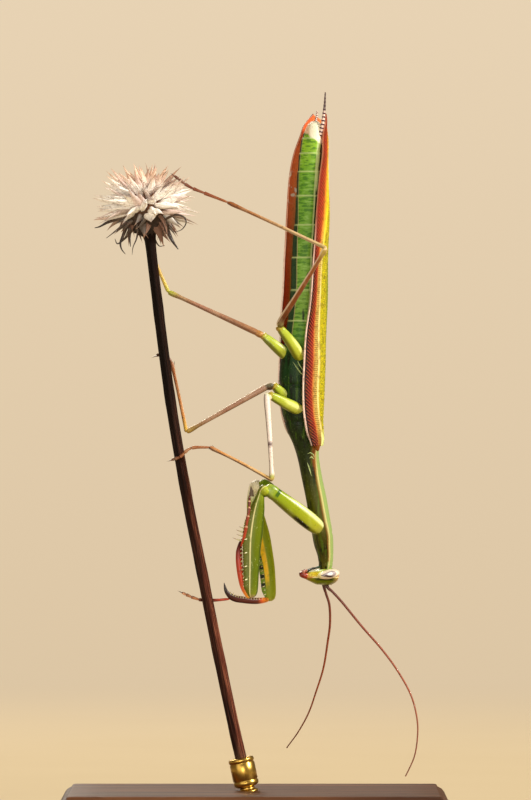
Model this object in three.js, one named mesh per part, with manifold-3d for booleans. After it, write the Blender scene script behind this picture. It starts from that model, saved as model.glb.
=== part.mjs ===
// A praying mantis holding on to a dry flower stalk, head down, life size, on a small display stand.
// Millimetres, +Z up, origin at the middle of the base's underside. +X runs from the stalk to the
// insect, and -Y is the insect's right-hand side.

import * as THREE from "three";
import { mergeVertices } from "three/addons/utils/BufferGeometryUtils.js";
import Module from "manifold-3d";

const wasm = await Module();
wasm.setup();

// ---------- Driving sizes ----------

const GAP = 0.3; // between pieces that touch
const HALF_TURN = Math.PI;
const FULL_TURN = 2 * Math.PI;

// Trunk stations: height, centre x, half width, half depth, shift towards the back, turn of the back
const TRUNK = [
  [32.2, 8.58, 0.92, 0.78, 0, 14],
  [33.1, 8.55, 1.1, 0.85, 0, 16],
  [34.4, 8.35, 1.45, 1.05, 0, 17],
  [35.7, 8.14, 1.75, 1.18, 0, 18],
  [37.6, 7.82, 1.45, 1.22, 0, 18],
  [40, 7.4, 1.3, 1.24, 0, 19],
  [42.5, 6.88, 1.25, 1.24, 0, 22],
  [45, 6.42, 1.35, 1.3, 0, 28],
  [46.6, 6.2, 1.5, 1.62, -0.05, 40],
  [48.2, 5.78, 1.72, 1.85, -0.2, 48],
  [51, 5.38, 2, 1.95, -0.35, 50],
  [54.5, 5.2, 2, 1.95, -0.35, 50],
  [57, 5.25, 1.9, 1.75, -0.3, 50],
  [59, 5.4, 1.72, 1.48, -0.25, 50],
  [64, 5.88, 1.6, 1.32, -0.2, 50],
  [69, 6.08, 1.58, 1.28, -0.22, 50],
  [74.2, 6.46, 1.5, 1.2, -0.3, 50],
  [78.4, 6.66, 1.42, 1.05, -0.4, 50],
  [81.1, 6.85, 1.38, 0.98, -0.42, 50],
  [83.2, 7.1, 1.25, 0.9, -0.4, 50],
  [84.4, 7.3, 0.98, 0.7, -0.38, 50],
  [85, 7.42, 0.66, 0.5, -0.35, 50],
  [85.25, 7.45, 0.35, 0.28, -0.32, 50],
];

const PRONOTUM_GROOVE = 35.9;
const PROTHORAX_HEIGHTS = [
  32.2, 33.1, 34.3, 35.2, 35.6, PRONOTUM_GROOVE, 36.2, 37.2, 38.5, 40, 41.7, 43.4, 45, 46.3,
];
const PTEROTHORAX_HEIGHTS = [46.6, 48, 49.3, 50.6, 52, 53.3, 54.7, 56, 57.4, 58.7];
const ABDOMEN_ENDS = [59, 85.25];
const SEGMENT_EDGES = [60.9, 65, 68.9, 72.8, 76.3, 79.2, 81.4];

// Right forewing stations: height, then the costal margin, the two shoulder controls and the inner
// margin of its bent section, each as distance to the side and distance towards the back
const FOREWING = [
  [46.3, 2.2, -0.1, 2.35, 0.35, 2.2, 0.8, 1.85, 1.05],
  [48.2, 2.25, -1.15, 2.75, 0.7, 2.3, 2.6, 1, 2.5],
  [51.8, 2.35, -1.75, 3.15, 1.4, 2.45, 3.3, -0.2, 3.2],
  [56, 2.4, -1.75, 3.5, 1.65, 2.5, 3.4, -0.3, 3.2],
  [60, 2.25, -1.6, 3.2, 1.8, 2.3, 3.2, -0.3, 2.95],
  [63.8, 2.3, -1.36, 2.9, 1.8, 2.1, 3, -0.3, 2.8],
  [70, 2.36, -1.18, 2.8, 1.4, 2, 2.8, -0.3, 2.62],
  [74.2, 2.4, -1.26, 2.75, 1.2, 1.9, 2.6, -0.3, 2.5],
  [78.4, 2.45, -1.05, 2.6, 1, 1.75, 2.35, -0.3, 2.25],
  [81.3, 2.36, -0.66, 2.35, 0.9, 1.6, 2.2, -0.25, 2.12],
  [83.5, 1.88, -0.45, 2, 0.8, 1.35, 2, -0.1, 1.9],
  [85, 1.68, -0.19, 1.5, 0.6, 1.05, 1.35, 0.1, 1.4],
  [86.2, 1, 0.5, 1.05, 0.7, 0.8, 1.05, 0.4, 1.05],
];
// The left wing's front edge is tucked up beside the thorax, up to the height where this fades
const FRONT_TUCK = { side: 0.35, back: 1.4, fadeFrom: 56, fadeTo: 63.5 };
const OVERLAP_LIFT = 0.85; // of the left forewing over the right one, towards the back
const WING_THICKNESS = 0.45;
// Subcosta, radius, media, cubitus and anal vein, as shares of the wing's width
const FOREWING_VEINS = { places: [0.17, 0.3, 0.45, 0.6, 0.76], height: 0.16, margins: [0, 0.09, 0.88, 1] };
const HINDWING_VEINS = { places: [0.3, 0.7], height: 0.08, margins: [0, 1] };
const VEIN_HALF_WIDTH = 0.045;
const HINDWING_ENDS = [50.6, 83.6];
const HINDWING_RISE = 0.31; // over the trunk

const HEAD_CENTRE = new THREE.Vector3(8, 0, 30.7);
const HEAD_TURN = 8;
const EYE = { x: 0.92, y: 2.05, z: 0.3, length: 1.22, width: 0.92, depth: 0.68 };

const STALK = [
  [-1.2, -2, 6.9],
  [-2.9, -2, 14.6],
  [-4.67, -2, 23.06],
  [-6.58, -2, 32.64],
  [-8.03, -2, 39.83],
  [-10.07, -2, 51.8],
  [-11.64, -2, 63.77],
  [-12.5, -2, 71.6],
];
const STALK_RADIUS = 0.68;
const FLOWER_CENTRE = new THREE.Vector3(-13.1, -2, 75.2);
const FLOWER_RADIUS = 6.3;
const FLOWER_CORE = 3;
const BRACT_ROOT = 2.3; // from the flower head's centre
const BRACT_COUNT = 64;

const BASE = { length: 48, width: 34, height: 5, corner: 2.6 };
// Inset from the base's outline and height, from its underside up the moulded edge to its top
const BASE_MOULDING = [
  [0.4, 0], [0, 0.4], [0, 2.6], [0.25, 2.95], [0.66, 3.1], [0.72, 3.55], [1.1, 4.3], [1.7, 4.66], [2.1, 5],
];
const FERRULE = { radius: 1.55, bore: 1, length: 3.4, depth: 2.4 };
const ROD_RADIUS = 0.85;

// ---------- Finishes ----------

function finish(color, roughness, metalness = 0) {
  return new THREE.MeshStandardMaterial({ color, roughness, metalness });
}

const CUTICLE_GREEN = finish(0x5f8f2a, 0.45);
const COXA_GREEN = finish(0xb9cf1f, 0.4);
const LEG_TAN = finish(0xc08a5a, 0.5);
const TIBIA_RED = finish(0xa8341c, 0.4);
const TARSUS_RED = finish(0x8a2f1c, 0.5);
const WING_RED = finish(0x8f3a22, 0.55);
const WING_CLEAR = finish(0xc9b48a, 0.45);
const EYE_SILVER = finish(0xcfc6c8, 0.2);
const ANTENNA_BROWN = finish(0x7a3319, 0.5);
const STALK_BROWN = finish(0x4a2217, 0.7);
const FLOWER_CREAM = finish(0xe8dccb, 0.75);
const BASE_WOOD = finish(0x5a3a24, 0.45);
const ROD_BRASS = finish(0xb8913f, 0.3, 1);

// ---------- Shapes ----------

function point(list) {
  return new THREE.Vector3(...list);
}

// Values at one place of a table of stations, on a smooth curve through them
function smooth(stations, place) {
  const last = stations.length - 1;
  let index = 0;
  while (index < last - 1 && place > stations[index + 1][0]) {
    index += 1;
  }
  const from = stations[index];
  const to = stations[index + 1];
  const before = stations[Math.max(index - 1, 0)];
  const after = stations[Math.min(index + 2, last)];
  const span = to[0] - from[0];
  const t = THREE.MathUtils.clamp((place - from[0]) / span, 0, 1);
  return from.slice(1).map((value, column) => {
    const end = to[column + 1];
    const slopeIn = ((end - before[column + 1]) / (to[0] - before[0])) * span;
    const slopeOut = ((after[column + 1] - value) / (after[0] - from[0])) * span;
    const rise = end - value;
    return value + slopeIn * t + (3 * rise - 2 * slopeIn - slopeOut) * t ** 2
      + (slopeIn + slopeOut - 2 * rise) * t ** 3;
  });
}

function spread(from, to, steps) {
  return Array.from({ length: steps + 1 }, (_, step) => from + ((to - from) * step) / steps);
}

// A closed surface from points and triangles, with its faces turned outwards
function shell(points, faces) {
  const corner = faces.flat();
  let volume = 0;
  for (const [a, b, c] of faces) {
    volume += points[a].dot(points[b].clone().cross(points[c]));
  }
  const geometry = new THREE.BufferGeometry();
  geometry.setAttribute("position", new THREE.Float32BufferAttribute(points.flatMap((p) => p.toArray()), 3));
  geometry.setIndex(volume > 0 ? corner : corner.reverse());
  return geometry;
}

// A closed body through rings of points, each end closed on its middle
function loft(rings) {
  const sides = rings[0].length;
  const points = rings.flat();
  const faces = [];
  for (let ring = 0; ring < rings.length - 1; ring += 1) {
    for (let side = 0; side < sides; side += 1) {
      const a = ring * sides + side;
      const b = ring * sides + ((side + 1) % sides);
      faces.push([a, b, b + sides], [a, b + sides, a + sides]);
    }
  }
  for (const ring of [0, rings.length - 1]) {
    const middle = points.length;
    const centre = new THREE.Vector3();
    rings[ring].forEach((corner) => centre.addScaledVector(corner, 1 / sides));
    points.push(centre);
    for (let side = 0; side < sides; side += 1) {
      const a = ring * sides + side;
      const b = ring * sides + ((side + 1) % sides);
      faces.push(ring === 0 ? [middle, b, a] : [middle, a, b]);
    }
  }
  return shell(points, faces);
}

// Centre and directions at a share of a smooth path: along it, across it towards 'deep', and over
function placeOn(path, share, deep) {
  const curve = new THREE.CatmullRomCurve3(path.map(point), false, "centripetal");
  const along = curve.getTangentAt(share);
  const across = deep.clone().addScaledVector(along, -deep.dot(along)).normalize();
  return { centre: curve.getPointAt(share), along, across, over: along.clone().cross(across) };
}

// A limb along a smooth path: stations of share of its length, half depth and, where it isn't round,
// half thickness. 'deep' is the direction of its depth, and 'grow' swells the whole limb.
function limb(path, stations, deep, sides, grow = 0) {
  const last = stations.length - 1;
  const rings = stations.map(([share, depth, thickness = depth], index) => {
    const { centre, along, across, over } = placeOn(path, share, deep);
    if (index === 0) {
      centre.addScaledVector(along, -grow);
    }
    if (index === last) {
      centre.addScaledVector(along, grow);
    }
    return spread(0, FULL_TURN, sides).slice(0, sides).map((angle) => centre.clone()
      .addScaledVector(across, (depth + grow) * Math.cos(angle))
      .addScaledVector(over, (thickness + grow) * Math.sin(angle)));
  });
  return loft(rings);
}

// A pointed spine on the surface at 'root', sunk into it
function spine(root, direction, length, radius) {
  const sunk = 0.25;
  const upright = new THREE.Vector3(0, 1, 0);
  const turn = new THREE.Quaternion().setFromUnitVectors(upright, direction.clone().normalize());
  const cone = new THREE.ConeGeometry(radius, length + sunk, 5).translate(0, (length - sunk) / 2, 0);
  return cone.applyQuaternion(turn).translate(...root.toArray());
}

// A row of spines on a limb at shares of its path. 'angle' is the row's place round the limb, from
// its deep side, and 'lean' tips the spines along it.
function spineRow(path, stations, deep, { shares, angle, lengths, radius, lean }) {
  return shares.map((share, index) => {
    const { centre, along, across, over } = placeOn(path, share, deep);
    const [depth, thickness = depth] = smooth(stations, share);
    const root = centre.addScaledVector(across, depth * Math.cos(angle))
      .addScaledVector(over, thickness * Math.sin(angle));
    const direction = across.multiplyScalar(Math.cos(angle))
      .addScaledVector(over, Math.sin(angle))
      .addScaledVector(along, lean);
    return spine(root, direction, lengths[index % lengths.length], radius);
  });
}

// A thin sheet whose outer face is 'surface(u, v)', raised by 'relief(u, v)' and split into
// triangles alike on both faces
function sheet(rows, columns, surface, thickness, relief) {
  const step = 0.01;
  const outer = [];
  const inner = [];
  for (const u of rows) {
    for (const v of columns) {
      const here = surface(u, v);
      const alongU = surface(Math.min(u + step, 1), v).sub(surface(Math.max(u - step, 0), v));
      const alongV = surface(u, Math.min(v + step, 1)).sub(surface(u, Math.max(v - step, 0)));
      const inwards = alongU.cross(alongV).normalize().multiplyScalar(Math.sign(thickness));
      inner.push(here.clone().addScaledVector(inwards, Math.abs(thickness)));
      outer.push(here.addScaledVector(inwards, -relief(u, v)));
    }
  }
  const wide = columns.length;
  const far = outer.length;
  const faces = [];
  for (let row = 0; row < rows.length - 1; row += 1) {
    for (let column = 0; column < wide - 1; column += 1) {
      const a = row * wide + column;
      const [b, c, d] = [a + 1, a + wide + 1, a + wide];
      faces.push([a, b, c], [a, c, d], [far + a, far + c, far + b], [far + a, far + d, far + c]);
    }
  }
  const rim = [
    ...spread(0, wide - 1, wide - 1),
    ...spread(1, rows.length - 1, rows.length - 2).map((row) => row * wide + wide - 1),
    ...spread(wide - 2, 0, wide - 2).map((column) => (rows.length - 1) * wide + column),
    ...spread(rows.length - 2, 1, rows.length - 3).map((row) => row * wide),
  ].map(Math.round);
  rim.forEach((a, index) => {
    const b = rim[(index + 1) % rim.length];
    faces.push([b, a, far + a], [b, far + a, far + b]);
  });
  return shell([...outer, ...inner], faces);
}

function solid(geometry) {
  const bare = geometry.clone();
  bare.deleteAttribute("normal");
  bare.deleteAttribute("uv");
  const merged = mergeVertices(bare, 1e-5);
  return new wasm.Manifold(new wasm.Mesh({
    numProp: 3,
    vertProperties: merged.attributes.position.array,
    triVerts: new Uint32Array(merged.index.array),
  }));
}

// The largest closed surface of a solid, as a geometry
function body(joined) {
  const largest = joined.decompose().reduce((a, b) => (a.volume() > b.volume() ? a : b));
  const mesh = largest.getMesh();
  const geometry = new THREE.BufferGeometry();
  geometry.setAttribute("position", new THREE.BufferAttribute(mesh.vertProperties, 3));
  geometry.setIndex(new THREE.BufferAttribute(mesh.triVerts, 1));
  return geometry;
}

// One geometry joined from 'pieces' and cut clear of 'neighbours'
function fuse(pieces, neighbours = []) {
  let whole = pieces.map(solid).reduce((a, b) => a.add(b));
  for (const neighbour of neighbours) {
    whole = whole.subtract(solid(neighbour));
  }
  return body(whole);
}

// ---------- Scene graph ----------

function group(parent, origin) {
  const made = new THREE.Group();
  made.userData.origin = point(origin);
  made.position.copy(made.userData.origin).sub(parent.userData.origin);
  parent.add(made);
  return made;
}

// Adds a node whose geometry is in the model's frame, with its own origin at 'pivot'
function add(parent, name, geometry, material, pivot) {
  const origin = point(pivot);
  const placed = geometry.clone().translate(-origin.x, -origin.y, -origin.z);
  const mesh = new THREE.Mesh(placed, material.clone());
  mesh.name = name;
  mesh.position.copy(origin).sub(parent.userData.origin);
  parent.add(mesh);
}

const model = new THREE.Group();
model.userData.origin = new THREE.Vector3();
const mantis = group(model, [5.2, 0, 52]);
const wings = group(mantis, [6, 0, 47]);
const perch = group(model, STALK[0]);
const stand = group(model, [0, 0, 0]);

// ---------- Trunk ----------

const RIGHT = new THREE.Vector3(0, -1, 0);
const SIDE_ON = new THREE.Vector3(1, 0, 0);

// The place at a height of the trunk, 'side' to the insect's right and 'back' towards its back
function trunkPoint(height, side, back) {
  const [x, , , , turn] = smooth(TRUNK, height);
  const angle = THREE.MathUtils.degToRad(turn);
  const [sine, cosine] = [Math.sin(angle), Math.cos(angle)];
  return new THREE.Vector3(x + side * sine + back * cosine, back * sine - side * cosine, height);
}

function trunkRing(height, sides, swell, grow = 0) {
  const [, width, depth, shift] = smooth(TRUNK, height);
  return spread(0, FULL_TURN, sides).slice(0, sides).map((angle) => trunkPoint(
    height,
    (width * swell(angle, height) + grow) * Math.cos(angle),
    shift + (depth * swell(angle, height) + grow) * Math.sin(angle),
  ));
}

function even() {
  return 1;
}

// The pronotum's side margins and the keel along its back stand out a little
function keeled(angle, height) {
  const groove = height === PRONOTUM_GROOVE ? 0.93 : 1;
  if (Math.abs(Math.sin(angle)) < 0.1) {
    return 1.09 * groove;
  }
  return (Math.sin(angle) > 0.99 ? 1.05 : 1) * groove;
}

function trunk(heights, sides, swell, grow = 0) {
  const rings = heights.map((height) => trunkRing(height, sides, swell, grow));
  rings[0].forEach((corner) => corner.setZ(corner.z - grow));
  rings.at(-1).forEach((corner) => corner.setZ(corner.z + grow));
  return loft(rings);
}

const prothorax = (grow) => trunk(PROTHORAX_HEIGHTS, 16, keeled, grow);
const pterothorax = (grow) => trunk(PTEROTHORAX_HEIGHTS, 16, even, grow);
add(mantis, "prothorax", prothorax(0), CUTICLE_GREEN, [8.1, 0, 36]);
add(mantis, "pterothorax", pterothorax(0), CUTICLE_GREEN, [5.2, 0, 52]);

// The abdomen's rings each widen to a hind edge that stands over the next one
function abdomen() {
  const [low, high] = ABDOMEN_ENDS;
  const step = 0.12;
  const edges = [low, ...SEGMENT_EDGES];
  const rings = [];
  edges.forEach((edge, index) => {
    const next = SEGMENT_EDGES[index] ?? 83;
    rings.push(trunkRing(edge + (index ? step : 0), 14, () => 0.95));
    rings.push(trunkRing(next, 14, () => 1.02));
  });
  for (const height of [83.3, 84.3, 85, high]) {
    rings.push(trunkRing(height, 14, even));
  }
  return loft(rings);
}

add(mantis, "abdomen", abdomen(), CUTICLE_GREEN, [5.4, 0, 59]);

const CERCUS_STATIONS = [[0, 0.22], [0.3, 0.27], [0.65, 0.25], [0.9, 0.17], [1, 0.09]];
const CERCI = {
  right: [[83.6, 1.1, -0.55], [84.9, 1.3, -0.68], [86.8, 1.3, -0.3], [88.7, 1.36, 0]],
  left: [[83.9, -0.5, -0.2], [85.2, -0.4, -0.2], [86.1, -0.15, -0.15], [86.9, 0, -0.1]],
};
const abdomenTip = trunk(spread(79, ABDOMEN_ENDS[1], 8), 14, () => 1.02, GAP);
for (const [side, course] of Object.entries(CERCI)) {
  const path = course.map(([height, across, back]) => trunkPoint(height, across, back).toArray());
  const shape = fuse([limb(path, CERCUS_STATIONS, SIDE_ON, 8)], [abdomenTip]);
  add(mantis, `cercus_${side}`, shape, ANTENNA_BROWN, path[0]);
}

// ---------- Head ----------

// Head stations: place from mouth to crown, half width, middle and half depth from face to nape
const HEAD = [
  [-1.7, 0.62, 0, 0.5],
  [-1.3, 0.85, -0.04, 0.66],
  [-0.7, 1.1, -0.12, 0.84],
  [0, 1.6, -0.1, 0.98],
  [0.7, 2, -0.1, 1.05],
  [1.3, 2.02, -0.06, 0.96],
  [1.8, 1.6, 0, 0.7],
  [2.05, 0.9, 0.08, 0.38],
];

function headRings(stations, sides, grow = 0) {
  return stations.map(([x, width, middle, depth]) => spread(0, FULL_TURN, sides).slice(0, sides)
    .map((angle) => new THREE.Vector3(
      x,
      (width + grow) * Math.cos(angle),
      middle + (depth + grow) * Math.sin(angle),
    )));
}

// Turns a geometry from the head's own frame to the model's
function headPlaced(geometry) {
  geometry.rotateZ(THREE.MathUtils.degToRad(HEAD_TURN));
  return geometry.translate(...HEAD_CENTRE.toArray());
}

function eye(side, grow = 0) {
  const ball = new THREE.SphereGeometry(1, 16, 10);
  ball.scale(EYE.length + grow, EYE.width + grow, EYE.depth + grow);
  ball.rotateZ(side * -0.32);
  return headPlaced(ball.translate(EYE.x, side * EYE.y, EYE.z));
}

const ANTENNAE = {
  right: [
    [8.78, -0.5, 28.9], [10.37, -0.6, 27.7], [12.83, -0.8, 24.7], [15.28, -1, 21.89], [17.2, -1.2, 19.26],
    [18.8, -1.4, 16.29], [19.49, -1.6, 13.47], [19.53, -1.7, 11.56], [19.14, -1.9, 9.1], [18.08, -2, 6.73],
  ],
  left: [
    [8.34, 0.5, 28.9], [8.97, 1.2, 27.29], [9.08, 2.2, 24.97], [8.81, 3.4, 22.65], [8.29, 5, 19.39],
    [7.42, 6.6, 16.5], [6.55, 8, 13.95], [5.31, 9.5, 11.59], [3.9, 11, 9.55],
  ],
};

// Three simple eyes on the brow and the raised sockets of the feelers
function brow() {
  const ocelli = [[1.15, 0.42], [1.15, -0.42], [0.75, 0]].map(([x, y]) => {
    const bead = new THREE.IcosahedronGeometry(0.24, 0);
    return headPlaced(bead.translate(x, y, -1.06));
  });
  const sockets = Object.values(ANTENNAE).map(([[x, y, z]]) => {
    const ring = new THREE.CylinderGeometry(0.4, 0.3, 0.7, 8).rotateX(HALF_TURN / 2);
    return ring.translate(x, y, z + GAP + 0.35);
  });
  return [...ocelli, ...sockets];
}

const head = fuse(
  [headPlaced(loft(headRings(HEAD, 14))), ...brow()],
  [eye(1, GAP), eye(-1, GAP), prothorax(GAP)],
);
add(mantis, "head", head, CUTICLE_GREEN, HEAD_CENTRE.toArray());
add(mantis, "eye_right", body(solid(eye(-1))), EYE_SILVER, HEAD_CENTRE.toArray());
add(mantis, "eye_left", body(solid(eye(1))), EYE_SILVER, HEAD_CENTRE.toArray());

// Labrum, jaws and the feelers beside the mouth
function mouthparts() {
  const jawStations = [[-2.65, 0.3, 0.1, 0.28], [-2.4, 0.5, 0.08, 0.42], [-1.95, 0.6, 0, 0.5]];
  const palpStations = [[0, 0.25], [0.35, 0.25], [0.7, 0.25], [1, 0.12]];
  const palps = [1, -1].map((side) => {
    const course = [[-1.9, 0.4, 0.35], [-2.1, 0.75, 0.75], [-1.6, 0.95, 1.05], [-1, 0.9, 1.15]];
    const path = course.map(([x, y, z]) => [x, side * y, z]);
    return headPlaced(limb(path, palpStations, SIDE_ON, 6));
  });
  const headStations = [[-1.9, ...HEAD[0].slice(1)], ...HEAD.slice(1)];
  const headGrown = headPlaced(loft(headRings(headStations, 14, GAP)));
  return fuse([headPlaced(loft(headRings(jawStations, 10))), ...palps], [headGrown]);
}

add(mantis, "mouthparts", mouthparts(), TIBIA_RED, [5.6, 0, 30.8]);

function antennaRadius(share) {
  const scape = 0.08 * Math.max(0, 1 - share / 0.06);
  return 0.25 + scape - 0.13 * Math.max(0, (share - 0.85) / 0.15);
}

for (const [side, path] of Object.entries(ANTENNAE)) {
  const half = 0.496;
  const lengths = { base: [0, half], tip: [1 - half, 1] };
  for (const [name, [from, to]] of Object.entries(lengths)) {
    const stations = spread(from, to, 8).map((share) => [share, antennaRadius(share)]);
    const pivot = name === "base" ? path[0] : path[4];
    add(mantis, `antenna_${side}_${name}`, limb(path, stations, RIGHT, 6), ANTENNA_BROWN, pivot);
  }
}

// ---------- Wings ----------

// The outer face of a forewing: u from its root to its tip, v from the costal to the inner margin
function forewingSurface(mirror, lift) {
  const [low, high] = [FOREWING[0][0], FOREWING.at(-1)[0]];
  return (u, v) => {
    const height = low + (high - low) * u;
    const section = smooth(FOREWING, height);
    const weights = [(1 - v) ** 3, 3 * v * (1 - v) ** 2, 3 * v ** 2 * (1 - v), v ** 3];
    let [side, back] = [0, 0];
    weights.forEach((weight, index) => {
      side += weight * section[2 * index];
      back += weight * section[2 * index + 1];
    });
    back += lift * THREE.MathUtils.smoothstep(v, 0.25, 0.8) * THREE.MathUtils.smoothstep(u, 0, 0.1);
    if (mirror < 0) {
      const tuck = 1 - THREE.MathUtils.smoothstep(height, FRONT_TUCK.fadeFrom, FRONT_TUCK.fadeTo);
      side += FRONT_TUCK.side * tuck * weights[0];
      back += FRONT_TUCK.back * tuck * weights[0];
    }
    return trunkPoint(height, mirror * side, back);
  };
}

// A wing's sheet with its veins raised, each with a foot, a crest and a foot
function veined(surface, rows, thickness, { places, height, margins }) {
  const ribs = places.flatMap((vein) => [vein - VEIN_HALF_WIDTH, vein, vein + VEIN_HALF_WIDTH]);
  const columns = [...ribs, ...margins].sort((a, b) => a - b);
  const relief = (u, v) => (places.includes(v) ? height * (1 - 0.6 * u) : 0);
  return sheet(rows, columns, surface, thickness, relief);
}

function forewing(mirror, lift) {
  const rows = [0, 0.03, 0.07, ...spread(0.12, 0.82, 9), 0.88, 0.93, 0.97, 1];
  const surface = forewingSurface(mirror, lift);
  const blade = veined(surface, rows, -mirror * WING_THICKNESS, FOREWING_VEINS);
  return fuse([blade], [prothorax(GAP), pterothorax(GAP)]);
}

add(wings, "forewing_right", forewing(1, 0), WING_RED, [7.9, -1.2, 46.6]);
add(wings, "forewing_left", forewing(-1, OVERLAP_LIFT), WING_RED, [5.2, 1.2, 46.6]);

// A hindwing lies folded over the back, under its forewing
function hindwing(mirror) {
  const [low, high] = HINDWING_ENDS;
  const [near, far] = [0.06, 0.6];
  const surface = (u, v) => {
    const height = low + (high - low) * u;
    const [, width, depth, shift] = smooth(TRUNK, height);
    const rise = HINDWING_RISE + WING_THICKNESS;
    const angle = HALF_TURN / 2 - near - (far - near) * v * (1 - 0.5 * u ** 6);
    const side = (width + rise) * Math.cos(angle) + 0.1;
    return trunkPoint(height, mirror * side, shift + (depth + rise) * Math.sin(angle));
  };
  return veined(surface, spread(0, 1, 12), mirror * WING_THICKNESS, HINDWING_VEINS);
}

add(wings, "hindwing_right", hindwing(1), WING_CLEAR, [6.4, 1, 50]);
add(wings, "hindwing_left", hindwing(-1), WING_CLEAR, [6.2, 1.4, 50]);

// ---------- Walking legs ----------

const COXA_STATIONS = [[0, 0.75], [0.35, 0.72], [0.75, 0.58], [0.92, 0.5], [1, 0.34]];
const FEMUR_STATIONS = [[0, 0.3], [0.06, 0.39], [0.3, 0.37], [0.85, 0.3], [0.96, 0.36], [1, 0.27]];
const TIBIA_STATIONS = [[0, 0.25], [0.1, 0.26], [0.85, 0.25], [0.97, 0.3], [1, 0.22]];
const TARSUS_STATIONS = [[0, 0.2], [0.4, 0.25], [0.55, 0.22], [0.75, 0.26], [1, 0.2]];
const SPURS = { shares: [0.95], lengths: [0.45], radius: 0.13, lean: 1.2 };

const WALKING_LEGS = {
  midleg_right: {
    coxa: [[5.9, -1, 50.4], [3.7, -3.3, 51.5], [1.86, -4.4, 52.5]],
    femur: [[1.74, -4.5, 52.6], [2, -6.1, 47.4], [2.13, -7.6, 42.25]],
    tibia: [[2.13, -7.6, 42.25], [-1.6, -5.5, 44.3], [-5.34, -3.55, 46.15]],
    tarsus: [[-5.34, -3.55, 46.15], [-7.7, -3.3, 46], [-8.9, -3.28, 45], [-9.92, -3, 44.62]],
  },
  midleg_left: {
    coxa: [[4.7, 0, 51.4], [3.4, -1.3, 52.5], [2.22, -2.2, 53.6]],
    femur: [[2.04, -2.3, 53.72], [-3.1, -1.9, 50.8], [-8.14, -1.4, 47.97]],
    tibia: [[-8.14, -1.4, 47.97], [-9.05, -1.1, 52.3], [-9.95, -0.7, 56.36]],
    tarsus: [[-9.95, -0.7, 56.36], [-10.5, -0.65, 57], [-11.2, -0.7, 57.3], [-11.75, -1.1, 57.1]],
  },
  hindleg_right: {
    coxa: [[5.7, -1.1, 56.5], [4.4, -3, 58.6], [2.81, -4.2, 60.64]],
    femur: [[2.81, -4.3, 60.76], [5.8, -8.2, 65.4], [8.48, -12.4, 69.79]],
    tibia: [[8.48, -12.4, 69.79], [2.7, -8.6, 72.6], [-3.16, -4.9, 75.38]],
    tarsus: [[-3.16, -4.9, 75.38], [-5.95, -4.3, 76.5], [-7.8, -3.9, 77.3], [-9.7, -3.8, 78.9]],
  },
  hindleg_left: {
    coxa: [[4.6, -0.1, 56.6], [2.9, -0.9, 57.9], [1.14, -1.15, 59.47]],
    femur: [[1.02, -1.15, 59.53], [-4.7, 1.2, 62.2], [-10.37, 3.6, 64.81]],
    tibia: [[-10.37, 3.6, 64.81], [-13.2, 4.6, 71.3], [-16.01, 5.5, 77.76]],
    tarsus: [[-16.01, 5.5, 77.76], [-16.7, 4.6, 78.8], [-16.8, 3.4, 79.6], [-16.4, 2.4, 80]],
  },
};

const flowerHolds = []; // grown feet that the flower head is cut clear of

// The two claws at the end of a foot
function claws(path) {
  const { centre, along, across } = placeOn(path, 0.98, RIGHT);
  return [1, -1].map((side) => {
    const direction = along.clone().addScaledVector(across, 0.8 * side);
    return spine(centre.clone().addScaledVector(across, 0.08 * side), direction, 0.55, 0.14);
  });
}

for (const [name, course] of Object.entries(WALKING_LEGS)) {
  const leg = group(mantis, course.coxa[0]);
  const coxa = (grow) => limb(course.coxa, COXA_STATIONS, SIDE_ON, 10, grow);
  const femur = (grow) => limb(course.femur, FEMUR_STATIONS, SIDE_ON, 8, grow);
  const tibia = (grow) => limb(course.tibia, TIBIA_STATIONS, SIDE_ON, 8, grow);
  const tarsus = (grow) => limb(course.tarsus, TARSUS_STATIONS, RIGHT, 6, grow);
  const spurs = [-0.6, -2.5].flatMap((angle) => (
    spineRow(course.tibia, TIBIA_STATIONS, SIDE_ON, { ...SPURS, angle })));
  add(leg, `${name}_coxa`, fuse([coxa(0)], [pterothorax(GAP)]), COXA_GREEN, course.coxa[1]);
  add(leg, `${name}_femur`, fuse([femur(0)], [coxa(GAP)]), LEG_TAN, course.femur[0]);
  const shin = fuse([tibia(0), ...spurs], [femur(GAP), tarsus(GAP)]);
  add(leg, `${name}_tibia`, shin, LEG_TAN, course.tibia[0]);
  const foot = fuse([tarsus(0), ...claws(course.tarsus)], [tibia(GAP), stalk(GAP)]);
  add(leg, `${name}_tarsus`, foot, LEG_TAN, course.tarsus[0]);
  flowerHolds.push(tarsus(GAP), tibia(GAP));
}

// ---------- Raptorial forelegs ----------

const FORELEG_STATIONS = {
  coxa: [[0, 0.78], [0.2, 0.81], [0.5, 0.77], [0.85, 0.65], [0.96, 0.58], [1, 0.39]],
  femur: [
    [0, 0.4, 0.35], [0.08, 0.5, 0.45], [0.2, 0.82, 0.58], [0.42, 1, 0.6], [0.6, 0.9, 0.55],
    [0.8, 0.68, 0.5], [0.94, 0.5, 0.42], [1, 0.3, 0.28],
  ],
  tibia: [
    [0, 0.27, 0.27], [0.1, 0.34, 0.3], [0.35, 0.4, 0.32],
    [0.75, 0.4, 0.3], [0.86, 0.28, 0.25], [1, 0.08, 0.08],
  ],
  tarsus: [[0, 0.22], [0.4, 0.25], [0.7, 0.25], [1, 0.2]],
};

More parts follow.
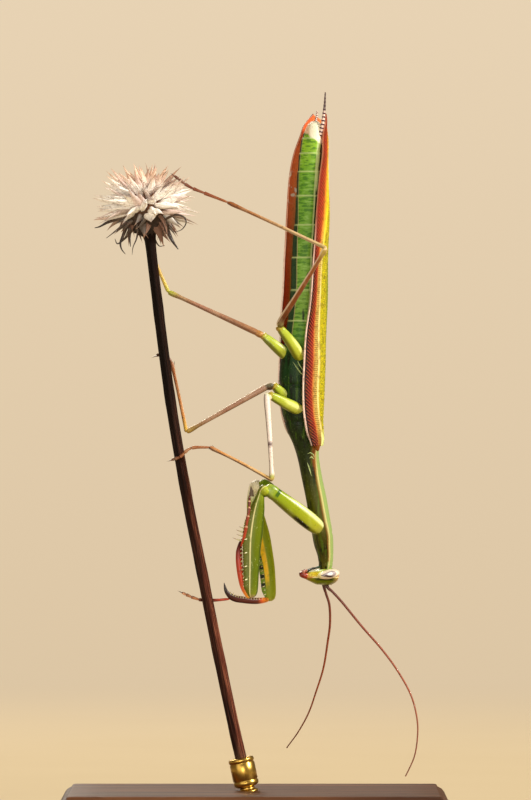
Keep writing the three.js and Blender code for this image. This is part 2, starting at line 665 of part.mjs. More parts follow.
// Rows of spines, each at an angle from the stalk's far side. The femur grasps towards the stalk and
// its spines stand in an outer row, an inner row and a few long ones by its middle.
const FORELEG_SPINES = {
  coxa: [
    { shares: spread(0.3, 0.8, 4), angle: 2.2, lengths: [0.3], radius: 0.15, lean: 0.2 },
  ],
  femur: [
    { shares: [0.33, 0.38, 0.43], angle: 3.3, lengths: [1.1, 1.5, 1.3], radius: 0.17, lean: -0.15 },
    { shares: spread(0.48, 0.84, 3), angle: 2.3, lengths: [0.75, 0.65], radius: 0.18, lean: 0.35 },
    { shares: spread(0.5, 0.92, 8), angle: 4, lengths: [0.35, 0.6], radius: 0.14, lean: 0.3 },
  ],
  tibia: [
    { shares: spread(0.22, 0.76, 6), angle: 0.9, lengths: [0.35, 0.45], radius: 0.14, lean: 0.9 },
    { shares: spread(0.2, 0.74, 6), angle: -0.9, lengths: [0.35, 0.45], radius: 0.14, lean: 0.9 },
  ],
};

const FORELEGS = {
  foreleg_right: {
    side: 1,
    shinFaces: new THREE.Vector3(1, 0, 0.3),
    coxa: [[8.1, -0.9, 36.1], [5, -2.1, 38.6], [1.3, -3.2, 41.4]],
    femur: [
      [0.95, -3.3, 41.4], [0.28, -3.4, 38.4], [-0.15, -3.45, 35],
      [-0.28, -3.5, 31.4], [-0.36, -3.6, 28.2],
    ],
    tibia: [
      [-0.6, -3.5, 28.1], [-1.3, -3.5, 29.4], [-1.72, -3.5, 31.4],
      [-1.85, -3.4, 33.2], [-1.7, -3.1, 34.6], [-1.25, -2.6, 35.5],
    ],
    tarsus: [
      [-1.95, -3.4, 34.2], [-1.75, -3.9, 35.6], [-1.2, -4.35, 37.2],
      [-0.7, -4.4, 38.9], [-0.45, -4.1, 40.6],
    ],
  },
  foreleg_left: {
    side: -1,
    shinFaces: new THREE.Vector3(0, 0, 1),
    coxa: [[7.7, 0.6, 36.2], [4, 1.6, 39.2], [0.55, 2.5, 41.9]],
    femur: [[0.2, 2.6, 41.7], [0.5, 2.65, 38.4], [0.95, 2.65, 34.8], [1.6, 2.6, 31.4], [1.98, 2.6, 28]],
    tibia: [
      [1.6, 2.4, 27.85], [0.2, 1.4, 27.7], [-1.3, 0.3, 27.8],
      [-2.6, -0.7, 28.1], [-3.35, -1, 28.8], [-3.65, -1, 29.9],
    ],
    tarsus: [
      [-3, -0.85, 27.95], [-4.7, -0.72, 27.8], [-6.2, -0.72, 27.8],
      [-7.25, -0.9, 28.07], [-8.69, -1.2, 28.71],
    ],
  },
};

for (const [name, course] of Object.entries(FORELEGS)) {
  const leg = group(mantis, course.coxa[0]);
  const faces = { coxa: SIDE_ON, femur: SIDE_ON, tibia: course.shinFaces, tarsus: RIGHT };
  const piece = (part, sides, grow) => limb(course[part], FORELEG_STATIONS[part], faces[part], sides, grow);
  const spines = (part) => FORELEG_SPINES[part].flatMap((row) => {
    const turned = { ...row, angle: course.side * row.angle };
    return spineRow(course[part], FORELEG_STATIONS[part], faces[part], turned);
  });
  const [coxaGrown, femurGrown] = [piece("coxa", 12, GAP), piece("femur", 12, GAP)];
  const [tibiaGrown, tarsusGrown] = [piece("tibia", 10, GAP), piece("tarsus", 6, GAP)];
  const coxa = fuse([piece("coxa", 12, 0), ...spines("coxa")], [prothorax(GAP)]);
  const femur = fuse([piece("femur", 12, 0), ...spines("femur")], [coxaGrown, tibiaGrown, tarsusGrown]);
  const tibia = fuse([piece("tibia", 10, 0), ...spines("tibia")], [femurGrown, tarsusGrown]);
  const foot = [piece("tarsus", 6, 0), ...claws(course.tarsus)];
  const tarsus = fuse(foot, [tibiaGrown, femurGrown, stalk(GAP)]);
  add(leg, `${name}_coxa`, coxa, COXA_GREEN, course.coxa[1]);
  add(leg, `${name}_femur`, femur, CUTICLE_GREEN, course.femur[0]);
  add(leg, `${name}_tibia`, tibia, TIBIA_RED, course.tibia[0]);
  add(leg, `${name}_tarsus`, tarsus, TARSUS_RED, course.tarsus[0]);
}

// ---------- Perch ----------

function stalk(grow = 0) {
  const steps = 14;
  const stations = spread(0, 1, steps).map((share) => {
    const radius = STALK_RADIUS - 0.07 * share;
    return [share, radius, radius];
  });
  return limb(STALK, stations, SIDE_ON, 10, grow);
}

// Repeatable random numbers from 0 to 1
function seeded(seed) {
  let state = seed;
  return () => {
    state = (state * 16807) % 2147483647;
    return state / 2147483647;
  };
}

// One dry bract: a narrow tapered blade that bends by 'droop' towards its tip
function bract(direction, length, width, droop) {
  const root = FLOWER_CENTRE.clone().addScaledVector(direction, BRACT_ROOT);
  const middle = root.clone().addScaledVector(direction, length * 0.55);
  const tip = root.clone().addScaledVector(direction, length);
  tip.z += droop;
  const path = [root, middle, tip].map((place) => place.toArray());
  const deep = new THREE.Vector3(0, 0, 1).cross(direction).normalize();
  const stations = [[0, width * 0.4, 0.3], [0.55, width * 0.5, 0.27], [0.98, 0.1, 0.08]];
  return limb(path, stations, deep, 4);
}

// Bracts on a spiral over the flower head, from its crown down to those that hook under it
function bracts() {
  const random = seeded(11);
  const golden = HALF_TURN * (3 - Math.sqrt(5));
  return spread(0, 1, BRACT_COUNT - 1).map((share, index) => {
    const down = Math.acos(1 - 1.72 * share) + 0.12 * (random() - 0.5);
    const round = golden * index + 0.3 * (random() - 0.5);
    const direction = new THREE.Vector3(
      Math.sin(down) * Math.cos(round),
      Math.sin(down) * Math.sin(round),
      Math.cos(down),
    );
    const reach = FLOWER_RADIUS - 1.6 * Math.max(Math.cos(down), 0) - BRACT_ROOT;
    const length = reach * (0.8 + 0.25 * random());
    const droop = share > 0.72 ? -1.2 : 0.5 * (random() - 0.5);
    return bract(direction, length, 0.8 + 0.35 * random(), droop);
  });
}

function flowerHead() {
  const core = new THREE.SphereGeometry(FLOWER_CORE, 12, 8).translate(...FLOWER_CENTRE.toArray());
  return fuse([core, ...bracts()], [stalk(GAP), ...flowerHolds]);
}

add(perch, "perch_stem", stalk(), STALK_BROWN, STALK[0]);
add(perch, "perch_flower_head", flowerHead(), FLOWER_CREAM, FLOWER_CENTRE.toArray());

// ---------- Stand ----------

// The block's outline with round corners, moved in by 'inset'
function baseOutline(inset, height) {
  const radius = BASE.corner - inset;
  const steps = 4;
  const corners = [[1, 1], [-1, 1], [-1, -1], [1, -1]];
  return corners.flatMap(([x, y], quarter) => spread(0, 1, steps).map((share) => {
    const angle = (quarter + share) * HALF_TURN / 2;
    return new THREE.Vector3(
      x * (BASE.length / 2 - BASE.corner) + radius * Math.cos(angle),
      y * (BASE.width / 2 - BASE.corner) + radius * Math.sin(angle),
      height,
    );
  }));
}

function base() {
  return body(solid(loft(BASE_MOULDING.map(([inset, height]) => baseOutline(inset, height)))));
}

// The rod and, on it, the cup that the stalk's cut end stands in, in line with the stalk
function rod() {
  const foot = point(STALK[0]);
  const lean = point(STALK[1]).sub(foot).normalize();
  const turn = new THREE.Quaternion().setFromUnitVectors(new THREE.Vector3(0, 0, 1), lean);
  const place = (geometry, along) => {
    const centre = foot.clone().addScaledVector(lean, along);
    return geometry.rotateX(HALF_TURN / 2).applyQuaternion(turn).translate(...centre.toArray());
  };
  const { radius, bore, length, depth } = FERRULE;
  const floor = -GAP - (length - depth);
  const cup = place(new THREE.CylinderGeometry(radius, radius, length, 20), floor + length / 2);
  const pin = place(new THREE.CylinderGeometry(ROD_RADIUS, ROD_RADIUS, 3, 16), floor - 1);
  const hole = place(new THREE.CylinderGeometry(bore, bore, depth + 1, 16), -GAP + (depth + 1) / 2);
  const below = new THREE.BoxGeometry(20, 20, 10).translate(foot.x, foot.y, BASE.height + GAP - 5);
  return fuse([cup, pin], [hole, below]);
}

add(stand, "stand_base", base(), BASE_WOOD, [0, 0, 0]);
add(stand, "stand_rod", rod(), ROD_BRASS, [-1, -2, 5]);

export default model;
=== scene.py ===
import math
import random

import bpy
from mathutils import Matrix, Vector


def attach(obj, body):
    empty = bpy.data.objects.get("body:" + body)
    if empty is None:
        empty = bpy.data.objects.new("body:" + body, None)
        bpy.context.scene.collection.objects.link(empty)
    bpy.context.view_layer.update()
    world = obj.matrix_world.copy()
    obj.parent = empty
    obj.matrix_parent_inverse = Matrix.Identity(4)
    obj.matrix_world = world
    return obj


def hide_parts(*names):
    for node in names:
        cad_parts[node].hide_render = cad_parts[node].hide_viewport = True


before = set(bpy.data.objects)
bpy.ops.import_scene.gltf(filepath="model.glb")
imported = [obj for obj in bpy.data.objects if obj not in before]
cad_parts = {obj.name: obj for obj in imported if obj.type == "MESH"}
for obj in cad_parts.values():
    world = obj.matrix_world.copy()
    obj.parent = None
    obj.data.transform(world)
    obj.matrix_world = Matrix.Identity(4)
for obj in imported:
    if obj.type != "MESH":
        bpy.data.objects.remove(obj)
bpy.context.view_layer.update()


# ---------- Trunk ----------
# The neck, the long pronotum, the wing-bearing thorax and the abdomen are one skin of green cuticle.
# Its plates meet in soft folds: each abdomen ring stands a little over the next one, and the pronotum
# has a keel down its back, a groove over the fore hips and thin flanges along its sides.

MM = 0.001
HALF_TURN = math.pi
FULL_TURN = 2 * math.pi

# Height, centre x, half width, half depth, shift towards the back, turn of the back (millimetres, degrees)
TRUNK = [
    (31.2, 8.5, 0.72, 0.66, 0, 12),
    (32.2, 8.54, 0.95, 0.84, 0, 14),
    (33.1, 8.5, 1.15, 0.92, 0, 16),
    (34.4, 8.3, 1.5, 1.12, 0, 17),
    (35.7, 8.14, 1.75, 1.18, 0, 18),
    (37.6, 7.82, 1.45, 1.22, 0, 18),
    (40, 7.4, 1.3, 1.24, 0, 19),
    (42.5, 6.88, 1.25, 1.24, 0, 22),
    (45, 6.42, 1.35, 1.3, 0, 28),
    (46.6, 6.2, 1.5, 1.62, -0.05, 40),
    (48.2, 5.78, 1.72, 1.85, -0.2, 48),
    (51, 5.38, 2, 1.95, -0.35, 50),
    (54.5, 5.2, 2, 1.95, -0.35, 50),
    (57, 5.25, 1.9, 1.75, -0.3, 50),
    (59, 5.4, 1.72, 1.48, -0.25, 50),
    (64, 5.88, 1.6, 1.32, -0.2, 50),
    (69, 6.08, 1.58, 1.28, -0.22, 50),
    (74.2, 6.46, 1.5, 1.2, -0.3, 50),
    (78.4, 6.66, 1.42, 1.05, -0.4, 50),
    (81.1, 6.85, 1.38, 0.98, -0.42, 50),
    (83.2, 7.1, 1.27, 0.92, -0.4, 50),
    (84.4, 7.3, 1, 0.72, -0.38, 50),
    (85, 7.42, 0.68, 0.52, -0.35, 50),
    (85.25, 7.45, 0.35, 0.28, -0.32, 50),
]
NECK_END = 32.5
PRONOTUM_GROOVE = 35.9
PRONOTUM_END = 46.3
THORAX_FOLDS = (49.2, 53.6, 58.7)
SEGMENT_EDGES = (61.3, 65, 68.9, 72.8, 76.3, 79.2, 81.4, 83.2)
TRUNK_SIDES = 72
TRUNK_STEPS = 330
WING_HINGE = (46.2, 1.95, 0.15)

# Raised pale ridges beside the hind hips and below the wing hinge, each through points of height and
# angle round the trunk
HIP_RIDGES = (
    ((56.4, -1.15), (55.7, -0.86), (55.1, -0.62), (54.5, -0.3)),
    ((56.5, -0.84), (55.9, -0.66), (55.3, -0.42)),
    ((57.6, -0.62), (56.9, -0.5), (56.4, -0.28)),
    ((45.35, -0.55), (45.5, -0.3), (45.3, -0.05), (44.9, 0.05)),
    ((44.8, -0.4), (45.0, -0.2), (44.7, 0)),
    ((44.3, -0.62), (43.6, -0.52), (42.7, -0.4)),
)

# Where colours change on the trunk, in metres: the height that the ramp spans, where the belly starts
# and the pronotum ends, the scar's side and height, and the slope past which the tip is cream
COLOUR_REACH = 0.0875
BELLY_EDGE = (0.0588, 0.0594)
PRONOTUM_EDGE = (0.0466, 0.0458)
SCAR_SIDE, SCAR_HEIGHT = 0.00604, 0.0619
CREAM_EDGE = (0.0883, 0.0886)


def smooth(stations, place):
    """The values at one place of a table of stations, on a smooth curve through them."""
    last = len(stations) - 1
    index = 0
    while index < last - 1 and place > stations[index + 1][0]:
        index += 1
    start, end = stations[index], stations[index + 1]
    before, after = stations[max(index - 1, 0)], stations[min(index + 2, last)]
    span = end[0] - start[0]
    t = min(max((place - start[0]) / span, 0), 1)
    values = []
    for column in range(1, len(start)):
        a, b = start[column], end[column]
        slope_in = (b - before[column]) / (end[0] - before[0]) * span
        slope_out = (after[column] - a) / (after[0] - start[0]) * span
        rise = b - a
        values.append(
            a + slope_in * t + (3 * rise - 2 * slope_in - slope_out) * t**2
            + (slope_in + slope_out - 2 * rise) * t**3
        )
    return values


def spread(start, end, steps):
    """Evenly spaced values from one to another, both ends among them."""
    return [start + (end - start) * step / steps for step in range(steps + 1)]


def bump(distance, width):
    """A soft hump that is 1 at no distance and fades past its width."""
    return math.exp(-((distance / width) ** 2))


def blend(low, high, value):
    """0 at 'low' and 1 at 'high', with a smooth change between them."""
    t = min(max((value - low) / (high - low), 0), 1)
    return t * t * (3 - 2 * t)


def between(angle, other):
    """How far apart two angles are, the short way round."""
    return abs((angle - other + HALF_TURN) % FULL_TURN - HALF_TURN)


def circle(sides):
    """The cosine and sine of evenly spaced angles of a full turn."""
    angles = [FULL_TURN * side / sides for side in range(sides)]
    return [(math.cos(angle), math.sin(angle)) for angle in angles]


def trunk_point(height, side, back):
    """A place on the trunk, to the insect's right and towards its back."""
    x, _, _, _, turn = smooth(TRUNK, height)
    sine, cosine = math.sin(math.radians(turn)), math.cos(math.radians(turn))
    return Vector((x + side * sine + back * cosine, back * sine - side * cosine, height))


def tube(rings, shares, **attributes):
    """A closed tube through rings of points: its points, faces, UV places and point attributes."""
    sides, last = len(rings[0]), len(rings) - 1
    points = [corner for ring in rings for corner in ring]
    faces, places = [], []
    for row in range(last):
        for side in range(sides):
            a, b = row * sides + side, row * sides + (side + 1) % sides
            faces.append((a, b, b + sides, a + sides))
            left, right = side / sides, (side + 1) / sides
            places += [(shares[row], left), (shares[row], right)]
            places += [(shares[row + 1], right), (shares[row + 1], left)]
    for row in (0, last):
        middle = len(points)
        points.append(sum(rings[row], Vector()) / sides)
        for side in range(sides):
            a, b = row * sides + side, row * sides + (side + 1) % sides
            faces.append((middle, b, a) if row == 0 else (middle, a, b))
            places += [(shares[row], side / sides)] * 3
    flat = {}
    for key, values in attributes.items():
        flat[key] = [value for ring in values for value in ring] + [values[0][0], values[last][0]]
    return points, faces, places, flat


def skin(name, tubes):
    """One smooth mesh from closed tubes, with a UV map along and round each of them."""
    points, faces, places = [], [], []
    attributes = {key: [] for part in tubes for key in part[3]}
    for part_points, part_faces, part_places, part_attributes in tubes:
        start = len(points)
        points += [point * MM for point in part_points]
        faces += [tuple(start + corner for corner in face) for face in part_faces]
        places += part_places
        for key, values in attributes.items():
            values += part_attributes.get(key, [0.0] * len(part_points))
    mesh = bpy.data.meshes.new(name)
    mesh.from_pydata(points, [], faces)
    flat_places = [value for place in places for value in place]
    mesh.uv_layers.new(name="Lie").data.foreach_set("uv", flat_places)
    for key, values in attributes.items():
        mesh.attributes.new(key, "FLOAT", "POINT").data.foreach_set("value", values)
    mesh.shade_smooth()
    return mesh


def trunk_swell(height, angle):
    """How far the plates stand out from the trunk's plain section."""
    if height <= NECK_END:
        return 1 - 0.035 * math.sin(height * 9)
    if height < PRONOTUM_END:
        flange = 0.1 * max(bump(between(angle, side), 0.16) for side in (0.05, HALF_TURN - 0.05))
        keel = 0.05 * bump(between(angle, HALF_TURN / 2), 0.12)
        groove = 0.07 * max(math.sin(angle), 0) * bump(height - PRONOTUM_GROOVE, 0.16)
        return 1 + flange + keel - groove
    if height < SEGMENT_EDGES[0]:
        folds = sum(0.05 * bump(height - fold, 0.22) for fold in THORAX_FOLDS)
        belly_groove = 0.05 * bump(between(angle, -HALF_TURN / 2), 0.16)
        plates = 0.03 * math.cos(3 * angle) * bump(height - 53, 4)
        return 1 + plates - folds - belly_groove
    start = max(edge for edge in SEGMENT_EDGES if edge <= height)
    end = min([edge for edge in SEGMENT_EDGES if edge > height] + [TRUNK[-1][0] + 0.1])
    along = (height - start) / (end - start)
    seam = 0.03 * max(bump(between(angle, -0.35), 0.1), bump(between(angle, HALF_TURN + 0.35), 0.1))
    near_side = 0.18 * bump(between(angle, -0.1), 0.7) * blend(73, 81, height)
    return 0.965 + 0.055 * min(along * 1.15, 1) ** 0.7 - seam + near_side


def trunk_heights():
    """The heights of the trunk's rings, with extra ones at each fold."""
    heights = set(spread(TRUNK[0][0], TRUNK[-1][0], TRUNK_STEPS))
    for edge in (*SEGMENT_EDGES, *THORAX_FOLDS, PRONOTUM_END):
        heights.update((edge - 0.06, edge - 0.001, edge + 0.05, edge + 0.11))
    return sorted(heights)


def on_trunk(height, angle):
    """The place on the trunk's skin at a height and an angle round it."""
    _, width, depth, shift, _ = smooth(TRUNK, height)
    swell = trunk_swell(height, angle)
    return trunk_point(height, width * swell * math.cos(angle), shift + depth * swell * math.sin(angle))


def hip_ridge(points, sides=8, radius=0.075):
    """A thin pale welt that tapers to both ends."""
    places, rings = [], []
    for start, end in zip(points, points[1:]):
        places += [start.lerp(end, step / 6) for step in range(6)]
    places.append(points[-1])
    for index, place in enumerate(places):
        along = (places[min(index + 1, len(places) - 1)] - places[max(index - 1, 0)]).normalized()
        across = along.cross(Vector((0, -1, 0))).normalized()
        over = along.cross(across)
        size = radius * (0.15 + 0.85 * math.sin(HALF_TURN * index / (len(places) - 1)))
        rings.append([place + size * (right * across + up * over) for right, up in circle(sides)])
    pale = [[0.8] * sides] * len(rings)
    return tube(rings, spread(0.4, 0.45, len(rings) - 1), segment_line=pale)


def wing_hinge(side, sides=20):
    """The small brown plate that each forewing turns on."""
    height, out, back = WING_HINGE
    middle = trunk_point(height, side * out, back)
    rings = []
    for share in spread(0.03, 0.97, 14):
        radius = 0.3 * math.sin(HALF_TURN * share) * (1 + 0.15 * math.cos(3 * HALF_TURN * share))
        rise = -0.52 * math.cos(HALF_TURN * share)
        rings.append([middle + Vector((radius * x, radius * y, rise)) for x, y in circle(sides)])
    brown = [[0.9] * sides] * len(rings)
    return tube(rings, spread(0.25, 0.3, len(rings) - 1), flange=brown)


def trunk_skin():
    """The trunk with its ridges and hinge plates, and where its pale seams and brown flanges lie."""
    angles = [FULL_TURN * side / TRUNK_SIDES for side in range(TRUNK_SIDES)]
    heights = trunk_heights()
    rings, lines, flanges = [], [], []
    for height in heights:
        rings.append([on_trunk(height, angle) for angle in angles])
        lines.append([max(bump(height - edge, 0.07) for edge in SEGMENT_EDGES)] * TRUNK_SIDES)
        on_pronotum = NECK_END < height < PRONOTUM_END + 0.4
        wide = 0.07 + 0.13 * blend(42.8, 44.8, height)
        flanges.append([
            on_pronotum * max(bump(between(angle, place), wide) for place in (0.03, HALF_TURN - 0.03))
            for angle in angles
        ])
    low, high = heights[0], heights[-1]
    shares = [(height - low) / (high - low) for height in heights]
    ridges = [hip_ridge([on_trunk(*place) for place in places]) for places in HIP_RIDGES]
    hinges = [wing_hinge(side) for side in (1, -1)]
    trunk = tube(rings, shares, segment_line=lines, flange=flanges)
    return skin("mantis_trunk", [trunk, *ridges, *hinges])


def rgb(code):
    """A colour from its six-figure code, as the shader takes it."""
    parts = [int(code[index:index + 2], 16) / 255 for index in (0, 2, 4)]
    parts = [part / 12.92 if part <= 0.04045 else ((part + 0.055) / 1.055) ** 2.4 for part in parts]
    return (*parts, 1)


class Value:
    """What a node of a tree gives out. Sums with it add nodes to its tree."""

    def __init__(self, tree, socket):
        self.tree = tree
        self.socket = socket

    def maths(self, operation, other=0.0, clamp=False):
        return self.tree.maths(operation, self, other, clamp)

    def __add__(self, other):
        return self.maths("ADD", other)

    def __radd__(self, other):
        return self.tree.maths("ADD", other, self)

    def __sub__(self, other):
        return self.maths("SUBTRACT", other)

    def __rsub__(self, other):
        return self.tree.maths("SUBTRACT", other, self)

    def __mul__(self, other):
        return self.maths("MULTIPLY", other)

    def __truediv__(self, other):
        return self.maths("DIVIDE", other)

    def squared(self):
        return self.maths("POWER", 2.0)

    def waves(self, count):
        """A sine wave that comes 'count' times as the value goes from 0 to 1."""
        return (self * (FULL_TURN * count)).maths("SINE")

    def share(self, low, high, change="LINEAR"):
        """0 at 'low' and 1 at 'high', in a straight line between them."""
        inputs = {"Value": self, "From Min": low, "From Max": high}
        return self.tree.value("ShaderNodeMapRange", inputs, "Result", interpolation_type=change)

    def step(self, low, high):
        """0 at 'low' and 1 at 'high', with a smooth change between them."""
        return self.share(low, high, "SMOOTHSTEP")

    def near(self, place, low, high):
        """A step over how far the value is from a place, 0 at the distance 'low' and 1 at 'high'."""
        return (self - place).maths("ABSOLUTE").step(low, high)


class Tree:
    """A tree of nodes. Its methods add to it, and give back a node, a socket or a value."""

    def __init__(self, group):
        self.group = group

    def node(self, kind, inputs, **settings):
        made = self.group.nodes.new(kind)
        for key, value in settings.items():
            setattr(made, key, value)
        for socket, value in inputs.items():
            if isinstance(value, Value):
                value = value.socket
            if isinstance(value, bpy.types.NodeSocket):
                self.group.links.new(value, made.inputs[socket])
            else:
                made.inputs[socket].default_value = value
        return made

    def value(self, kind, inputs, output, **settings):
        return Value(self, self.node(kind, inputs, **settings).outputs[output])

    def maths(self, operation, a, b=0.0, clamp=False):
        return self.value("ShaderNodeMath", {0: a, 1: b}, 0, operation=operation, use_clamp=clamp)

    def parts(self, vector):
        """The three parts of a vector."""
        split = self.node("ShaderNodeSeparateXYZ", {"Vector": vector})
        return [Value(self, socket) for socket in split.outputs]

    def vector(self, x, y, z=0.0):
        return self.node("ShaderNodeCombineXYZ", {"X": x, "Y": y, "Z": z}).outputs["Vector"]


class Finish(Tree):
    """A procedural material, in which 'colour' is what is painted so far."""

    def __init__(self, name, roughness, **sockets):
        self.material = bpy.data.materials.new(name)
        self.material.use_nodes = True
        super().__init__(self.material.node_tree)
        self.shader = self.group.nodes["Principled BSDF"]
        self.shader.inputs["Roughness"].default_value = roughness
        self.colour = None
        for socket, value in sockets.items():
            self.shader.inputs[socket.replace("_", " ")].default_value = value

    def place(self):
        return self.node("ShaderNodeTexCoord", {}).outputs["Object"]

    def axes(self):
        """The place on the piece, axis by axis, in metres."""
        return self.parts(self.place())

    def lie(self):
        """The share along the piece and round it."""
        return self.parts(self.node("ShaderNodeUVMap", {}, uv_map="Lie").outputs["UV"])[:2]

    def attribute(self, name):
        return self.value("ShaderNodeAttribute", {}, "Fac", attribute_name=name)

    def stretched(self, x, y, z):
        """The place on the piece, scaled by axis."""
        inputs = {"Vector": self.place(), "Scale": (x, y, z)}
        return self.node("ShaderNodeMapping", inputs).outputs["Vector"]

    def noise(self, scale, detail=3, vector=None):
        inputs = {"Scale": scale, "Detail": detail, "Vector": vector or self.place()}
        return self.value("ShaderNodeTexNoise", inputs, "Fac")

    def patches(self, scale, detail, low, high):
        """Soft-edged patches of noise."""
        return self.noise(scale, detail).step(low, high)

    def cells(self, scale, vector=None, feature="DISTANCE_TO_EDGE"):
        """How far the place is from the edge of its cell, or from its middle where the feature is F1."""
        inputs = {"Vector": vector or self.place(), "Scale": scale}
        return self.value("ShaderNodeTexVoronoi", inputs, "Distance", feature=feature)

    def curve(self, value, *points):
        """A value that follows a smooth curve through points of place and height."""
        made = self.node("ShaderNodeFloatCurve", {"Value": value})
        line = made.mapping.curves[0]
        line.points[0].location, line.points[1].location = points[0], points[-1]
        for x, y in points[1:-1]:
            line.points.new(x, y)
        made.mapping.update()
        return Value(self, made.outputs["Value"])

    def ramp(self, factor, *stops):
        """A colour ramp with stops of place and six-figure colour."""
        made = self.node("ShaderNodeValToRGB", {"Fac": factor})
        elements = made.color_ramp.elements
        while len(elements) < len(stops):
            elements.new(0.5)
        for element, (position, code) in zip(elements, stops):
            element.position = position
            element.color = rgb(code)
        return made.outputs["Color"]

    def mix(self, factor, a, b, strength=1.0):
        """The colour a where the factor is 0, and b, at its strength, where the factor is 1."""
        share = factor if strength == 1.0 else self.maths("MULTIPLY", factor, strength)
        a, b = [rgb(colour) if isinstance(colour, str) else colour for colour in (a, b)]
        return self.node("ShaderNodeMix", {0: share, 6: a, 7: b}, data_type="RGBA").outputs[2]

    def paint(self, where, colour, strength=1.0):
        """Lays a colour over what is painted so far, where a mask is 1."""
        self.colour = self.mix(where, self.colour, colour, strength)

    def made(self, height=None, depth=0.0):
        """The finished material, with a bump of a depth in metres from a height."""
        self.group.links.new(self.colour, self.shader.inputs["Base Color"])
        if height is not None:
            raised = self.node("ShaderNodeBump", {"Height": height, "Distance": depth, "Strength": 1.0})
            self.group.links.new(raised.outputs["Normal"], self.shader.inputs["Normal"])
        return self.material


def trunk_finish():
    """Dark olive and near-black green cuticle, partly painted shade, paler and wrinkled on the belly, with a
    cream tip.
    """
    finish = Finish("green_cuticle", 0.42, Specular_IOR_Level=0.16, Coat_Weight=0.03, Coat_Roughness=0.25)
    x, _, height = finish.axes()
    around = finish.lie()[1]
    # Along the height: the dark olive of the pronotum and the near-black green of the wing-bearing thorax are
    # partly their own colour and partly painted shade.
    finish.colour = finish.ramp(
        height / COLOUR_REACH,
        (0.36, "545002"), (0.385, "383602"), (0.42, "545204"), (0.46, "464804"), (0.5, "242e08"),
        (0.58, "10280a"), (0.655, "143a12"), (0.675, "669a36"), (0.72, "80ae44"), (0.82, "6ca038"),
        (0.9, "70aa30"), (0.94, "94c832"),
    )
    streaks = finish.noise(1.0, 4, finish.stretched(2600, 2600, 260))
    off_belly = height.step(*BELLY_EDGE[::-1])
    dark = off_belly * streaks.step(0.5, 0.64)
    finish.paint(dark, "0c1002", 0.8)
    sheen = finish.noise(1.0, 3, finish.stretched(1900, 1900, 150))
    lighter = off_belly * sheen.step(0.55, 0.68)
    finish.paint(lighter, "547a14", 0.42)
    on_belly = height.step(*BELLY_EDGE)
    wrinkles = finish.noise(1.0, 4, finish.stretched(1000, 1000, 4000))
    wrinkled = on_belly * wrinkles.step(0.5, 0.6)
    finish.paint(wrinkled, "346e24", 0.7)
    lit = on_belly * wrinkles.step(0.45, 0.34)
    finish.paint(lit, "a6cf74", 0.35)
    towards_tip = height.step(0.066, 0.0815) * 0.085
    flank = around + towards_tip
    # Painted shade: the abdomen's left flank, turned from the key lamp, is darkened to near-black teal.
    flank_shade = on_belly * flank.step(0.757, 0.744)
    finish.paint(flank_shade, "0c2c22", 0.92)
    seam = flank.near(0.757, 0.009, 0.003)
    finish.paint(on_belly * seam, "b39a7c", 0.7)
    pale_side = on_belly * around.step(0.925, 0.945)
    finish.paint(pale_side, "cfe0a2", 0.7)
    # Painted shade: a near-black line where a gap runs along the belly.
    gap_shade = around.step(0.955, 0.965) * height.step(0.0775, 0.0765)
    finish.paint(gap_shade * on_belly, "0c160e", 0.95)
    smudges = finish.noise(1.0, 2, finish.stretched(900, 900, 420)).step(0.62, 0.68)
    beside = around.near(0.89, 0.035, 0.015)
    smudged = smudges * beside * on_belly
    finish.paint(smudged, "12241a", 0.85)
    scar = height.near(SCAR_HEIGHT, 0.001, 0.0003)
    ragged = x + finish.noise(2600, 2) * 0.0004
    across = ragged.near(SCAR_SIDE, 0.00024, 0.00004)
    scar = scar * across * around.step(0.6, 0.65)
    finish.paint(scar, "0c180c", 0.9)
    # Painted light: the pronotum's half from the near flange round its back, which faces the key lamp, is
    # painted pale green over the dark base.
    upper = around.near(0.75, 0.25, 0.29)
    on_pronotum = height.step(*PRONOTUM_EDGE)
    finish.paint(upper * on_pronotum, "94ac62", 0.94)
    beside = around.near(0.038, 0.022, 0.01)
    finish.paint(beside * on_pronotum, "cdbc80", 0.9)
    shaded_side = around.near(0.56, 0.18, 0.08)
    finish.paint(shaded_side * off_belly, "141002", 0.85)
    finish.paint(finish.attribute("segment_line"), "cfe39c", 0.8)
    finish.paint(finish.attribute("flange"), "8a4a14", 0.95)
    slope = height + x * 0.71 + finish.noise(1400, 3) * 0.0006
    cream = finish.mix(x.step(0.0068, 0.0064), "fffbe2", "e8c4a0")
    finish.paint(slope.step(*CREAM_EDGE), cream)
    speckle = finish.noise(5200, 2)
    finish.paint(speckle.step(0.62, 0.7), "c9dd8e", 0.08)
    return finish.made(wrinkles + speckle, 0.00004)


def piece(name, mesh, material, slot, *replaced):
    """Puts a finished mesh on the still body, in place of its CAD nodes."""
    made = bpy.data.objects.new(name, mesh)
    bpy.context.scene.collection.objects.link(made)
    mesh.materials.clear()
    mesh.materials.append(material)
    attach(made, "root")
    if replaced:
        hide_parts(*replaced)


trunk_nodes = ["prothorax", "pterothorax", "abdomen"]
piece("mantis_trunk", trunk_skin(), trunk_finish(), "cuticle_green", *trunk_nodes)


# ---------- Head ----------
# A flat triangle of cuticle hung on the neck, mouth towards the stalk and brow down. A cup with a
# pale rim holds each compound eye, three small simple eyes sit on the brow, and the lip and jointed
# feelers close the mouth.

HEAD_CENTRE = Vector((8, 0, 30.7))
HEAD_TURN = Matrix.Rotation(math.radians(8), 3, "Z")

